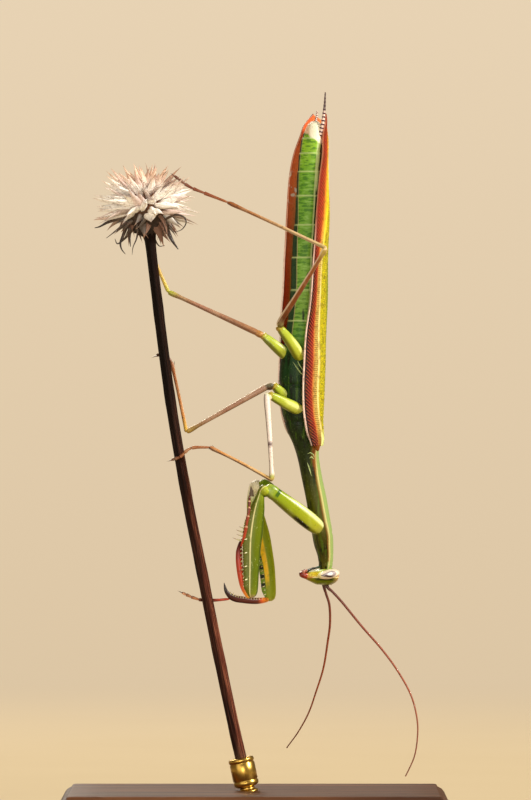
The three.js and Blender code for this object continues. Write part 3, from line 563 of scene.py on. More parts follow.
# Place from mouth to crown, half width, middle and half depth from brow to nape
HEAD = [
    (-1.85, 0.5, 0, 0.42),
    (-1.7, 0.62, 0, 0.5),
    (-1.3, 0.85, -0.04, 0.66),
    (-0.7, 1.1, -0.12, 0.84),
    (0, 1.6, -0.1, 0.98),
    (0.7, 2, -0.1, 1.05),
    (1.3, 2.02, -0.06, 0.96),
    (1.8, 1.6, 0, 0.7),
    (2.05, 0.9, 0.08, 0.38),
    (2.1, 0.3, 0.08, 0.15),
]
EYE_PLACE = (0.58, 2.05, 0.22)
EYE_CUP = (1.46, 0.9, 0.72)
EYE_BALL = (1.36, 0.95, 0.65)
EYE_SPLAY = 0.32
EYE_TILT = -0.16
OCELLI = ((1.15, 0.4), (1.15, -0.4), (0.75, 0))

# Place from the mouth, half width, middle and half depth of the lip
LIP_SIDES = 24
LIP = [
    (-2.66, 0.2, 0.22, 0.14), (-2.6, 0.34, 0.2, 0.26), (-2.35, 0.5, 0.16, 0.4), (-2, 0.62, 0.1, 0.46),
    (-1.7, 0.64, 0.03, 0.48),
]

# The long jaw feelers and the short lip feelers: the stretch of the finish's ramp that each takes, its
# radius and its course
PALPS = [
    ((0.6, 1.0), 0.1, [
        (-1.75, 0.5, 0.4), (-1.5, 0.62, 0.68), (-1.15, 0.66, 0.84), (-0.55, 0.6, 0.98), (-0.05, 0.5, 1.16),
    ]),
    ((0.35, 0.5), 0.15, [(-2, 0.3, 0.3), (-2.22, 0.42, 0.44), (-2.05, 0.5, 0.6), (-1.75, 0.45, 0.62)]),
]

# The heights of the mouth and the crown, and the middle and half length of the eye's silver field, in
# metres
HEAD_ENDS = (0.0058, 0.0102)
EYE_FIELD = (0.00886, 0.03092)
EYE_FIELD_REACH = 0.00098


def on_head(point):
    """Takes a point from the head's own frame to the model's."""
    return HEAD_CENTRE + HEAD_TURN @ Vector(point)


def ball(centre, radii, turn=0.0, taper=0.0, sides=32, steps=24, tilt=0.0):
    """An egg in the head's frame, turned about its height, tilted, and narrowed towards the mouth."""
    spin = Matrix.Rotation(turn, 3, "Z") @ Matrix.Rotation(tilt, 3, "Y")
    rings, shares = [], []
    for share in spread(0.015, 0.985, steps):
        lengthwise, girth = -math.cos(HALF_TURN * share), math.sin(HALF_TURN * share)
        girth *= 1 - taper * (1 - share)
        corners = [
            Vector((radii[0] * lengthwise, radii[1] * girth * right, radii[2] * girth * up))
            for right, up in circle(sides)
        ]
        rings.append([on_head(Vector(centre) + spin @ corner) for corner in corners])
        shares.append(share)
    return tube(rings, shares)


class Course:
    """A smooth course through points, read by its share of the whole length."""

    def __init__(self, points):
        points = [Vector(point) for point in points]
        ends = [2 * points[0] - points[1], *points, 2 * points[-1] - points[-2]]
        self.places = [points[0]]
        for four in zip(ends, ends[1:], ends[2:], ends[3:]):
            self.places += [self.between(four, step / 24) for step in range(1, 25)]
        self.lengths = [0.0]
        for a, b in zip(self.places, self.places[1:]):
            self.lengths.append(self.lengths[-1] + (b - a).length)

    @staticmethod
    def between(four, t):
        """A centripetal curve between the middle two of four points."""
        a, b, c, d = four
        first, middle, last = [math.sqrt((q - p).length) for p, q in ((a, b), (b, c), (c, d))]
        leave = middle * ((b - a) / first - (c - a) / (first + middle) + (c - b) / middle)
        arrive = middle * ((c - b) / middle - (d - b) / (middle + last) + (d - c) / last)
        return (
            b + leave * t + (3 * (c - b) - 2 * leave - arrive) * t**2
            + (2 * (b - c) + leave + arrive) * t**3
        )

    def at(self, share):
        """The place at a share of the whole length."""
        place = share * self.lengths[-1]
        index = 0
        while index < len(self.lengths) - 2 and self.lengths[index + 1] < place:
            index += 1
        a, b = self.lengths[index], self.lengths[index + 1]
        return self.places[index].lerp(self.places[index + 1], (place - a) / (b - a))

    def frame(self, share, deep):
        """The place at a share, and the directions along the course, across it to 'deep', and over."""
        along = (self.at(min(share + 0.01, 1)) - self.at(max(share - 0.01, 0))).normalized()
        across = (deep - deep.dot(along) * along).normalized()
        return self.at(share), along, across, along.cross(across)


def limb(course, half_sizes, deep, sides=20, steps=40, swell=None, lie=(0.0, 1.0)):
    """A tube along a course. 'half_sizes' gives its half depth and thickness at a share, 'swell' a
    factor at a share and angle, and 'lie' the stretch of the UV map that it fills."""
    rings, shares = [], []
    for share in spread(0, 1, steps):
        centre, _, across, over = course.frame(share, deep)
        depth, thickness = half_sizes(share)
        ring = []
        for side in range(sides):
            angle = FULL_TURN * side / sides
            factor = swell(share, angle) if swell else 1
            corner = depth * math.cos(angle) * across + thickness * math.sin(angle) * over
            ring.append(centre + factor * corner)
        rings.append(ring)
        shares.append(lie[0] + (lie[1] - lie[0]) * share)
    return tube(rings, shares)


def head_tubes(sides=64, steps=60):
    """The head's capsule and the two eye cups, whose rim is painted by an attribute."""
    low, high = HEAD[0][0], HEAD[-1][0]
    rings = []
    for x in spread(low, high, steps):
        width, middle, depth = smooth(HEAD, x)
        ring = []
        for side in range(sides):
            angle = FULL_TURN * side / sides
            brow_ridge = 0.05 * bump(x + 0.55, 0.22) * max(-math.sin(angle), 0)
            crown = 1 - 0.06 * bump(x - 1.5, 0.5) * abs(math.cos(angle)) * max(math.sin(angle), 0)
            factor = crown * (1 + brow_ridge)
            corner = (x, width * factor * math.cos(angle), middle + depth * factor * math.sin(angle))
            ring.append(on_head(corner))
        rings.append(ring)
    tubes = [tube(rings, spread(0, 1, steps))]
    for side in (1, -1):
        x, y, z = EYE_PLACE
        points, faces, uv_places, _ = ball(
            (x, side * (y - 0.1), z), EYE_CUP, side * -EYE_SPLAY, 0.42, 48, 36, EYE_TILT,
        )
        tubes.append((points, faces, uv_places, {"rim": [1.0] * len(points)}))
    return tubes


def head_finish():
    """A yellow netted cheek over a green brow, with a painted shadow line under the eye, a painted mint
    highlight at the top and a pink crown.
    """
    finish = Finish("head_cuticle", 0.34, Specular_IOR_Level=0.3, Coat_Weight=0.2, Coat_Roughness=0.15)
    x, _, z = finish.axes()
    share = x.share(*HEAD_ENDS)
    cheek = finish.ramp(
        share,
        (0.0, "b0482a"), (0.11, "d8985c"), (0.2, "d9cf4e"), (0.36, "d8bc1e"), (0.46, "dede3c"),
        (0.62, "9fb53a"), (0.88, "9fb53a"), (0.95, "cc8e62"),
    )
    net = finish.cells(4200.0).step(0.14, 0.04) * x.step(0.0081, 0.0076)
    cheek = finish.mix(net, cheek, "9a6a0c", 0.7)
    # Painted highlight: mint green along the top of the cheek, towards the mouth.
    behind = z.step(0.0311, 0.0314) * x.step(0.0084, 0.008)
    cheek = finish.mix(behind, cheek, "d6ecb0", 0.8)
    brow = finish.ramp(
        share,
        (0.0, "b9743e"), (0.1, "9a6c10"), (0.25, "7e7c06"), (0.5, "667202"), (0.8, "6e7602"),
        (0.93, "a07c34"), (1.0, "c88a60"),
    )
    brow = finish.mix(z.step(0.0299, 0.0295), brow, "8a8420", 0.6)
    finish.colour = finish.mix(z.step(0.03062, 0.0305), cheek, brow)
    # Painted shadow: a dark line under the eye's rim.
    span = x.step(0.007, 0.0076) * x.step(0.0098, 0.0092)
    line = z.near(0.0303, 0.0002, 0.00006) * span
    finish.paint(line, "262a06", 0.85)
    pale_line = z.near(0.03055, 0.0001, 0.00003) * x.step(0.0062, 0.0066)
    pale = finish.mix(x.step(0.0068, 0.0072), "f09a58", "fff0b4")
    finish.paint(pale_line, pale, 0.85)
    rim = finish.mix(z.step(0.0304, 0.03055), "f8dcc0", "f6e6c8")
    rim = finish.mix(x.step(0.0081, 0.0078), rim, "ece06a", 0.7)
    finish.paint(finish.attribute("rim"), rim, 0.95)
    finish.paint(finish.patches(2600, 3, 0.5, 0.7), "5c7d2a", 0.2)
    return finish.made(finish.noise(6500, 3), 0.00002)


def eye_finish():
    """A cream compound eye with a long silver field, edged purple grey and dark brown below in front, and a
    painted white glint.
    """
    finish = Finish("compound_eye", 0.16, Coat_Weight=0.8, Coat_Roughness=0.06)
    x, _, z = finish.axes()
    along = (x - EYE_FIELD[0]) / EYE_FIELD_REACH
    height = z - EYE_FIELD[1] - along * 0.00015
    room = finish.value("ShaderNodeMapRange", {
        "Value": along, "From Min": -1.0, "From Max": 0.35, "To Min": 0.1, "To Max": 0.43,
    }, "Result")
    across = height / 0.001 / room
    far = (along.squared() + across.squared()).maths("SQRT")
    finish.colour = finish.ramp(
        far,
        (0.0, "cfc6cc"), (0.5, "bab0b6"), (0.78, "9c8e96"), (0.92, "b09a90"), (1.0, "f7e2cc"),
        (1.25, "fdf0da"),
    )
    dark = across + along * 0.8
    dark = dark.step(0.05, -0.35) * far.step(1.0, 0.92)
    finish.paint(dark, "35181a", 0.95)
    # Painted glint: a white highlight on the silver field, a little off its middle.
    forward = (along - 0.2).squared()
    upward = (across - 0.12).squared()
    off_glint = forward + upward * 0.5
    finish.paint(off_glint.step(0.16, 0.05), "fffdfe", 0.95)
    finish.paint(x.step(0.0081, 0.0078), "ece06a", 0.7)
    facets = finish.cells(9000.0, feature="F1")
    finish.paint(facets, "6a5a60", 0.12)
    return finish.made(facets, 0.000008)


def mouth_tubes():
    """The lip, and two jointed feelers on each side folded back along the cheek."""
    lip = []
    for x, width, middle, depth in LIP:
        lip.append([on_head((x, width * right, middle + depth * up)) for right, up in circle(LIP_SIDES)])
    tubes = [tube(lip, spread(0, 0.3, len(LIP) - 1))]
    for side in (1, -1):
        for lie, size, points in PALPS:
            course = Course([on_head((x, side * y, z)) for x, y, z in points])

            def palp_girth(share, size=size):
                return (size * (0.8 + 0.4 * abs(math.sin(3 * HALF_TURN * share))),) * 2

            tubes.append(limb(course, palp_girth, Vector((1, 0, 0)), sides=12, steps=30, lie=lie))
    return tubes


def mouth_finish():
    """A deep red lip, short red-pink lip feelers and long blackish green jaw feelers."""
    finish = Finish("red_mouthparts", 0.3, Coat_Weight=0.4, Coat_Roughness=0.15)
    finish.colour = finish.ramp(
        finish.lie()[0],
        (0.0, "6a1a10"), (0.16, "8a2014"), (0.27, "a83a1e"), (0.3, "cf8448"), (0.36, "e0a08c"),
        (0.5, "a8503a"), (0.58, "5a6a34"), (0.66, "16281c"), (0.8, "0c1a14"), (1.0, "2c4a2a"),
    )
    finish.paint(finish.patches(3500, 3, 0.45, 0.7), "4d150f", 0.35)
    return finish.made(finish.noise(7000, 3), 0.00002)


def ocelli_tubes():
    return [ball((x, y, -0.99), (0.11, 0.11, 0.11), sides=14, steps=10) for x, y in OCELLI]


def ocelli_finish():
    """Glossy amber domes."""
    finish = Finish("simple_eyes", 0.12, Coat_Weight=0.8, Coat_Roughness=0.05)
    finish.colour = finish.mix(finish.noise(9000, 2), "c98a3a", "7a3d16")
    return finish.made()


piece("mantis_head", skin("mantis_head", head_tubes()), head_finish(), "cuticle_green", "head")
mouthparts = skin("mantis_mouthparts", mouth_tubes())
piece("mantis_mouthparts", mouthparts, mouth_finish(), "tibia_red", "mouthparts")
piece("simple_eyes", skin("simple_eyes", ocelli_tubes()), ocelli_finish(), "eye")
eye_material = eye_finish()
for name, side in (("eye_right", -1), ("eye_left", 1)):
    x, y, z = EYE_PLACE
    eye = ball((x + 0.02, side * (y + 0.07), z), EYE_BALL, side * -EYE_SPLAY, 0.48, 64, 48, EYE_TILT)
    piece(f"mantis_{name}", skin(name, [eye]), eye_material, "eye", name)


# ---------- Antennae and cerci ----------
# Each feeler is a thin flexible filament of some hundred short rings on a thicker first joint. The
# two cerci at the abdomen's tip are the same build, shorter and fatter, with pale and dark rings.

ANTENNAE = {
    "right": [
        (8.62, -0.46, 29.75), (8.8, -0.5, 29.3), (9.3, -0.52, 28.85), (10.37, -0.6, 27.7),
        (12.83, -0.8, 24.7), (15.28, -1, 21.89), (17.2, -1.2, 19.26), (18.8, -1.4, 16.29),
        (19.49, -1.6, 13.47), (19.53, -1.7, 11.56), (19.14, -1.9, 9.1), (18.08, -2, 6.73),
    ],
    "left": [
        (8.3, 0.45, 29.75), (8.36, 0.52, 29.3), (8.6, 0.8, 28.5), (8.97, 1.2, 27.29), (9.08, 2.2, 24.97),
        (8.81, 3.4, 22.65), (8.29, 5, 19.39), (7.42, 6.6, 16.5), (6.55, 8, 13.95), (5.31, 9.5, 11.59),
        (3.9, 11, 9.55),
    ],
}
CERCI = {
    "right": [(83.4, 1.25, -0.4), (84.8, 1.35, -0.4), (86.8, 1.35, -0.15), (88.7, 1.36, 0)],
    "left": [(84, -0.1, -0.3), (85, 0, -0.2), (85.8, 0.08, -0.1), (86.5, 0.1, 0)],
}


class MeshTree(Tree):
    """A Geometry Nodes tree with named inputs, which makes a mesh from a start mesh."""

    def __init__(self, name, **values):
        super().__init__(bpy.data.node_groups.new(name, "GeometryNodeTree"))
        self.names = {}
        self.group.interface.new_socket("Geometry", in_out="INPUT", socket_type="NodeSocketGeometry")
        for key, value in values.items():
            kind = "NodeSocketInt" if isinstance(value, int) else "NodeSocketFloat"
            if isinstance(value, str):
                kind = "NodeSocketMaterial"
            label = key.replace("_", " ").capitalize()
            socket = self.group.interface.new_socket(label, in_out="INPUT", socket_type=kind)
            self.names[key] = socket.identifier
        self.group.interface.new_socket("Geometry", in_out="OUTPUT", socket_type="NodeSocketGeometry")
        self.start = self.group.nodes.new("NodeGroupInput")
        self.defaults = {key: value for key, value in values.items() if not isinstance(value, str)}

    def given(self, key="geometry"):
        """One of the tree's inputs."""
        return Value(self, self.start.outputs[key.replace("_", " ").capitalize()])

    def named(self, name, kind="FLOAT"):
        return self.value("GeometryNodeInputNamedAttribute", {"Name": name}, "Attribute", data_type=kind)

    def store(self, geometry, name, value):
        inputs = {"Geometry": geometry, "Name": name, "Value": value}
        made = self.node("GeometryNodeStoreNamedAttribute", inputs, data_type="FLOAT", domain="POINT")
        return made.outputs["Geometry"]

    def finish(self, geometry):
        """Realizes, smooths and paints the geometry, and ends the tree."""
        real = self.node("GeometryNodeRealizeInstances", {"Geometry": geometry}).outputs["Geometry"]
        even = self.node("GeometryNodeSetShadeSmooth", {"Geometry": real}).outputs["Geometry"]
        inputs = {"Geometry": even, "Material": self.given("material")}
        painted = self.node("GeometryNodeSetMaterial", inputs).outputs["Geometry"]
        end = self.group.nodes.new("NodeGroupOutput")
        self.group.links.new(painted, end.inputs["Geometry"])

    def run(self, name, mesh, **values):
        """The plain mesh that the tree makes from a start mesh, with these inputs."""
        grower = bpy.data.objects.new(name, mesh)
        bpy.context.scene.collection.objects.link(grower)
        modifier = grower.modifiers.new("growth", "NODES")
        modifier.node_group = self.group
        for key, value in {**self.defaults, **values}.items():
            modifier[self.names[key]] = value
        grower.update_tag()
        shown = grower.evaluated_get(bpy.context.evaluated_depsgraph_get())
        made = bpy.data.meshes.new_from_object(shown)
        made.name = name
        grower.modifiers.clear()
        bpy.data.objects.remove(grower)
        return made


def filament_tree():
    """A ringed filament along a line: its rings swell a little, and it tapers over its whole length."""
    tree = MeshTree(
        "ringed_filament", rings=100, radius=0.0001, taper=0.5, ring_swell=0.12, base_swell=0.6, material="",
    )
    curve = tree.node("GeometryNodeMeshToCurve", {"Mesh": tree.given()}).outputs["Curve"]
    count = tree.given("rings") * 4.0
    curve = tree.node("GeometryNodeResampleCurve", {"Curve": curve, "Count": count}).outputs["Curve"]
    share = tree.value("GeometryNodeSplineParameter", {}, "Factor")
    curve = tree.store(curve, "along", share)
    narrowing = 1.0 - share * tree.given("taper")
    at_base = (1.0 - share * 22.0).maths("MAXIMUM", 0.0) * tree.given("base_swell")
    index = tree.value("GeometryNodeInputIndex", {}, 0)
    wave = (index * (HALF_TURN / 2)).maths("SINE")
    ringed = 1.0 + wave * tree.given("ring_swell")
    radius = tree.given("radius") * (narrowing + at_base) * ringed
    curve = tree.store(curve, "girth", radius)
    section = tree.node("GeometryNodeCurvePrimitiveCircle", {"Resolution": 10, "Radius": 1.0})
    swept = tree.node("GeometryNodeCurveToMesh", {
        "Curve": curve, "Profile Curve": section.outputs["Curve"],
        "Scale": tree.named("girth"), "Fill Caps": True,
    })
    tree.finish(swept.outputs["Mesh"])
    return tree


def line_mesh(name, course, steps):
    """A line of points along a course, for a tree to follow."""
    mesh = bpy.data.meshes.new(name)
    points = [course.at(share) * MM for share in spread(0, 1, steps)]
    mesh.from_pydata(points, [(step, step + 1) for step in range(steps)], [])
    return mesh


def antenna_finish():
    """Red-brown rings, dark at the first joint and paler towards the tip."""
    finish = Finish("antenna_brown", 0.45, Coat_Weight=0.1)
    finish.colour = finish.ramp(
        finish.attribute("along"),
        (0.0, "3b1a10"), (0.04, "5a2413"), (0.25, "8a3a1c"), (0.6, "a24c26"), (1.0, "7d4630"),
    )
    finish.paint(finish.patches(4200, 2, 0.45, 0.65), "4a1d10", 0.4)
    return finish.made(finish.noise(9000, 2), 0.00001)


def cercus_finish():
    """Pale pink rings with dark purple joints, running into a dark tip."""
    finish = Finish("cercus_rings", 0.4, Coat_Weight=0.15)
    along, x = finish.attribute("along"), finish.axes()[0]
    joints = along.waves(12)
    finish.colour = finish.mix(joints.step(-0.1, 0.6), "e8cdbf", "4a2232")
    right_tip = along.step(0.5, 0.66) * x.step(0.0078, 0.0081)
    finish.paint(right_tip, "3a2028", 0.9)
    return finish.made(finish.noise(9000, 2), 0.00001)


filaments = filament_tree()
antenna_material = antenna_finish()
for side, points in ANTENNAE.items():
    mesh = filaments.run(
        f"antenna_{side}", line_mesh("course", Course(points), 240),
        rings=150, radius=0.00016, taper=0.55, ring_swell=0.09, base_swell=0.4, material=antenna_material,
    )
    nodes = [f"antenna_{side}_base", f"antenna_{side}_tip"]
    piece(f"mantis_antenna_{side}", mesh, antenna_material, "antenna_brown", *nodes)

cercus_material = cercus_finish()
for side, places in CERCI.items():
    mesh = filaments.run(
        f"cercus_{side}", line_mesh("course", Course([trunk_point(*place) for place in places]), 60),
        rings=12, radius=0.00029, taper=0.75, ring_swell=0.13, base_swell=-0.3, material=cercus_material,
    )
    piece(f"mantis_cercus_{side}", mesh, cercus_material, "antenna_brown", f"cercus_{side}")


# ---------- Wings ----------
# Two leathery forewings close over the back, the left one over the right: a thick pale front edge, a
# brick-red field ruled with slanting veins, an orange and a yellow band, then green-yellow membrane.
# The thin smoky hindwings lie folded under them.

# Height, then the front edge, the two shoulder controls and the inner edge of the wing's bent
# section, each to the side and towards the back
FOREWING = [
    (46.3, 2.02, -0.85, 2.35, 0.2, 2.2, 0.8, 1.85, 1.05),
    (48.2, 2.12, -1.7, 2.65, 0.4, 2, 2.1, 1, 2.2),
    (51.8, 2.3, -1.95, 3.1, 1.3, 2.35, 3.15, -0.2, 3.2),
    (56, 2.4, -1.75, 3.5, 1.65, 2.5, 3.4, -0.3, 3.2),
    (60, 2.25, -1.6, 3.2, 1.8, 2.3, 3.2, -0.3, 2.95),
    (63.8, 2.3, -1.36, 2.9, 1.8, 2.1, 3, -0.3, 2.8),
    (70, 2.36, -1.18, 2.8, 1.4, 2, 2.8, -0.3, 2.62),
    (74.2, 2.4, -1.26, 2.75, 1.2, 1.9, 2.6, -0.3, 2.5),
    (78.4, 2.45, -1.05, 2.48, 0.9, 1.6, 2.2, -0.3, 2.2),
    (81.3, 2.36, -0.66, 2.15, 0.75, 1.35, 1.95, -0.25, 2.02),
    (83.5, 1.88, -0.45, 1.75, 0.6, 1.1, 1.75, -0.1, 1.75),
    (85, 1.68, -0.19, 1.35, 0.5, 0.9, 1.2, 0.1, 1.3),
    (86.2, 1, 0.5, 1.05, 0.7, 0.8, 1.05, 0.4, 1.05),
]
FOREWING_VEINS = (0.17, 0.3, 0.45, 0.6, 0.76)
FOREWING_GRID = (410, 116)
FOREWING_THICKNESS = 0.12
EDGE_THICKNESS = 0.07

# How far the upper wing lifts over the lower one, and how much the tips round off
OVERLAP_LIFT = 0.85
TIP_ROUND = 1.3

# How far the front edge of the far wing is tucked in at its root, and the heights that it fades between
TUCK_SIDE, TUCK_BACK, TUCK_FADE = 0.35, 1.4, (56, 63.5)

# Widths of the red field that the finish's ramps span
BAND_REACH = 6.0

# The hindwings' lowest and highest places, the angles from the middle of the back that they lie
# between, and how far they stand off the trunk
HINDWING_GRID = (160, 56)
HINDWING_THICKNESS = 0.06
HINDWING_ENDS = (50.6, 83.6)
HINDWING_SPREAD = (0.06, 0.6)
HINDWING_RISE = 0.72
HINDWING_PLEATS = 7


def forewing_point(u, v, mirror, lift):
    """The outer face of a forewing, from its root to its tip and from its front to its inner edge."""
    low, high = FOREWING[0][0], FOREWING[-1][0]
    height = low + (high - low) * u
    section = smooth(FOREWING, height)
    weights = ((1 - v) ** 3, 3 * v * (1 - v) ** 2, 3 * v**2 * (1 - v), v**3)
    side = sum(weight * section[2 * index] for index, weight in enumerate(weights))
    back = sum(weight * section[2 * index + 1] for index, weight in enumerate(weights))
    back += lift * blend(0.25, 0.8, v) * blend(0, 0.1, u)
    height -= TIP_ROUND * blend(0.92, 1, u) * v**1.5
    if mirror < 0:
        tuck = (1 - blend(*TUCK_FADE, height)) * weights[0]
        side, back = side + TUCK_SIDE * tuck, back + TUCK_BACK * tuck
    return trunk_point(height, mirror * side, back)


def hindwing_point(u, v, mirror):
    """The outer face of a folded hindwing, pleated like a closed fan."""
    low, high = HINDWING_ENDS
    height = low + (high - low) * u
    _, width, depth, shift, _ = smooth(TRUNK, height)
    near, far = HINDWING_SPREAD
    angle = HALF_TURN / 2 - near - (far - near) * v * (1 - 0.5 * u**6)
    rise = HINDWING_RISE + 0.03 * math.cos(FULL_TURN * HINDWING_PLEATS * v)
    side = (width + rise) * math.cos(angle) + 0.1
    return trunk_point(height, mirror * side, shift + (depth + rise) * math.sin(angle))


def wing(name, surface, rows, columns, thickness, relief):
    """A thin closed sheet whose outer face is 'surface', with its veins raised by 'relief'. The thickness
    is negative where the surface's own normal points to the body."""
    us, vs = spread(0, 1, rows), spread(0, 1, columns)
    outer, inner = [], []
    for u in us:
        for v in vs:
            here = surface(u, v)
            along = surface(min(u + 0.004, 1), v) - surface(max(u - 0.004, 0), v)
            across = surface(u, min(v + 0.004, 1)) - surface(u, max(v - 0.004, 0))
            out = across.cross(along).normalized() * (1 if thickness > 0 else -1)
            outer.append(here + relief(u, v) * out)
            inner.append(here - abs(thickness) * out - EDGE_THICKNESS * bump(v, 0.025) * out)
    wide, far = len(vs), len(outer)
    uv_places = [(u, v) for u in us for v in vs] * 2
    faces = []
    for row in range(rows):
        for column in range(columns):
            a = row * wide + column
            b, c, d = a + 1, a + wide + 1, a + wide
            faces += [(a, b, c, d), (far + a, far + d, far + c, far + b)]
    rim = [*range(wide), *range(2 * wide - 1, (rows + 1) * wide, wide)]
    rim += [*range((rows + 1) * wide - 2, rows * wide - 1, -1), *range((rows - 1) * wide, 0, -wide)]
    for a, b in zip(rim, rim[1:] + rim[:1]):
        faces.append((b, a, far + a, far + b))
    if thickness < 0:
        faces = [face[::-1] for face in faces]
    mesh = bpy.data.meshes.new(name)
    mesh.from_pydata([point * MM for point in outer + inner], [], faces)
    flat_places = [value for face in faces for corner in face for value in uv_places[corner]]
    mesh.uv_layers.new(name="Lie").data.foreach_set("uv", flat_places)
    inside = [0.0] * far + [1.0] * far
    mesh.attributes.new("inside", "FLOAT", "POINT").data.foreach_set("value", inside)
    mesh.shade_smooth()
    return mesh


def forewing(name, mirror, lift):
    """One forewing, with five long veins and the fine slanting ones raised on it."""
    def relief(u, v):
        veins = sum(bump(v - vein, 0.008) for vein in FOREWING_VEINS)
        small = 0.012 * math.sin(FULL_TURN * (90 * u + 14 * v)) * blend(0.03, 0.06, v)
        return 0.07 * veins * (1 - 0.6 * u) + small

    def surface(u, v):
        return forewing_point(u, v, mirror, lift)

    return wing(name, surface, *FOREWING_GRID, mirror * FOREWING_THICKNESS, relief)


def forewing_finish():
    """Bands from the front edge back, each ruled by its own fine veins; the inside is duller in pattern, and
    its bright colours are partly painted light, as of sun shining through the membrane.
    """
    finish = Finish("forewing_membrane", 0.45, Specular_IOR_Level=0.22)
    u, v = finish.lie()
    red_width = finish.curve(
        u, (0, 0.32), (0.05, 0.26), (0.1, 0.18), (0.15, 0.15), (0.25, 0.14), (0.5, 0.095), (0.72, 0.17),
        (0.9, 0.3), (1, 0.55),
    )
    band = v / red_width
    reach = band / BAND_REACH
    finish.colour = finish.ramp(
        reach,
        (0.0, "f6d8cc"), (0.014, "f0cabc"), (0.019, "14070a"), (0.045, "22080c"), (0.075, "4a0e10"),
        (0.12, "861a12"), (0.15, "a42e16"), (0.165, "cc6a30"), (0.185, "d08c40"), (0.205, "d09e48"),
        (0.215, "c2a458"), (0.28, "ccb058"), (0.29, "ead690"), (0.325, "e4d074"), (0.345, "a89a20"),
        (0.365, "e0ce1a"), (0.62, "dac81a"), (0.72, "a8ac24"), (0.85, "8fa03a"), (1.0, "86903c"),
    )
    tipwards = u.step(0.5, 0.72)
    tip = finish.ramp(
        reach,
        (0.0, "a04428"), (0.02, "7a2414"), (0.035, "8a1c10"), (0.12, "b23818"), (0.17, "cc6420"),
        (0.23, "e6a832"), (0.3, "ecd420"), (0.6, "e2d01c"), (0.8, "a6b02c"), (1.0, "8a9a3a"),
    )
    finish.paint(tipwards, tip)
    slant = u * 96.0 + band * 2.6
    stripes = slant.waves(1)
    on_red = band.step(0.2, 0.32) * band.step(1.12, 0.98)
    herringbone = on_red * stripes.step(0.35, 0.95)
    at_root = u.step(0.09, 0.02) * band.step(1.05, 0.85)
    finish.paint(at_root, "2a0806", 0.6)
    finish.paint(herringbone, "b8502c", 0.7)
    finish.paint(on_red * stripes.step(0.1, -0.6), "2c0a08", 0.4)
    rungs = u.waves(160)
    on_ladder = band.step(1.05, 1.15) * band.step(1.68, 1.6) * (1.0 - tipwards)
    ladder = on_ladder * rungs.step(0.2, 0.85)
    finish.paint(ladder, "8a6a2a", 0.75)
    place = finish.vector(u * 170.0, v * 44.0)
    net = finish.cells(1.0, place).step(0.16, 0.04)
    on_net = net * band.step(2.0, 2.3)
    finish.paint(on_net, "6e7a14", 0.75)
    finish.paint(finish.patches(1900, 3, 0.5, 0.66), "5e3a0c", 0.4)
    # Inside colours: the wing's own red, orange and tan, made brighter as painted light for sun shining
    # through the membrane; the cream spots below are brightened to near white the same way.
    inner = finish.ramp(
        reach,
        (0.0, "fbe0d2"), (0.018, "f4cbb8"), (0.03, "b42812"), (0.12, "dc4a22"), (0.27, "e0602e"),
        (0.36, "c88a30"), (0.62, "d8a03c"), (1.0, "b8965c"),
    )
    backlit_inner_tip = finish.ramp(
        reach,
        (0.0, "f0a888"), (0.015, "f07040"), (0.1, "fa8048"), (0.2, "f08c50"), (0.3, "d89858"),
        (1.0, "a87c48"),
    )
    inner = finish.mix(u.step(0.45, 0.75), inner, backlit_inner_tip)
    spots = finish.patches(900, 2, 0.52, 0.58)
    near_spots = u.near(0.78, 0.055, 0.03)
    inner = finish.mix(spots * near_spots, inner, "fff0dc", 0.95)
    inner = finish.mix(finish.patches(2600, 3, 0.5, 0.7), inner, "7a3418", 0.2)
    root = finish.mix(band.step(1.5, 1.9), "8a5a14", "e4ec94")
    on_root = u.step(0.06, 0.015) * band.step(0.9, 1.15)
    finish.paint(on_root, root, 0.9)
    finish.paint(finish.attribute("inside"), inner)
    lines = herringbone + ladder + on_net
    return finish.made(lines + finish.noise(5200, 3), 0.00004)


def hindwing_finish():
    """Smoky tan membrane, ruled by its long veins and spotted pale at the edge."""
    finish = Finish("hindwing_membrane", 0.4, Coat_Weight=0.1)
    u, v = finish.lie()
    finish.colour = finish.ramp(v, (0.0, "b99a66"), (0.5, "a58a5c"), (1.0, "8a6f48"))
    veins = v.waves(HINDWING_PLEATS)
    finish.paint(veins.step(0.5, 0.95), "5e4526", 0.7)
    cross = u.waves(90)
    finish.paint(cross.step(0.75, 0.98), "6e5430", 0.4)
    finish.paint(finish.patches(1200, 2, 0.58, 0.66), "e2cda8", 0.5)
    return finish.made(veins + finish.noise(5200, 3), 0.00002)


forewing_material, hindwing_material = forewing_finish(), hindwing_finish()
for side, mirror in (("right", 1), ("left", -1)):
    mesh = forewing(f"forewing_{side}", mirror, OVERLAP_LIFT if mirror < 0 else 0)
    piece(f"mantis_forewing_{side}", mesh, forewing_material, "wing_membrane", f"forewing_{side}")
    fan = wing(
        f"hindwing_{side}", lambda u, v, mirror=mirror: hindwing_point(u, v, mirror),
        *HINDWING_GRID, -mirror * HINDWING_THICKNESS, lambda u, v: 0,
    )
    piece(f"mantis_hindwing_{side}", fan, hindwing_material, "hindwing_membrane", f"hindwing_{side}")


# ---------- Walking legs ----------
# Four slender legs of hard cuticle: a stout green hip, a long thigh that swells at the knee, a thin
# shin with two spurs at its end, and a foot of five joints with two hooked claws.

SIDE_ON = Vector((1, 0, 0))
RIGHT = Vector((0, -1, 0))

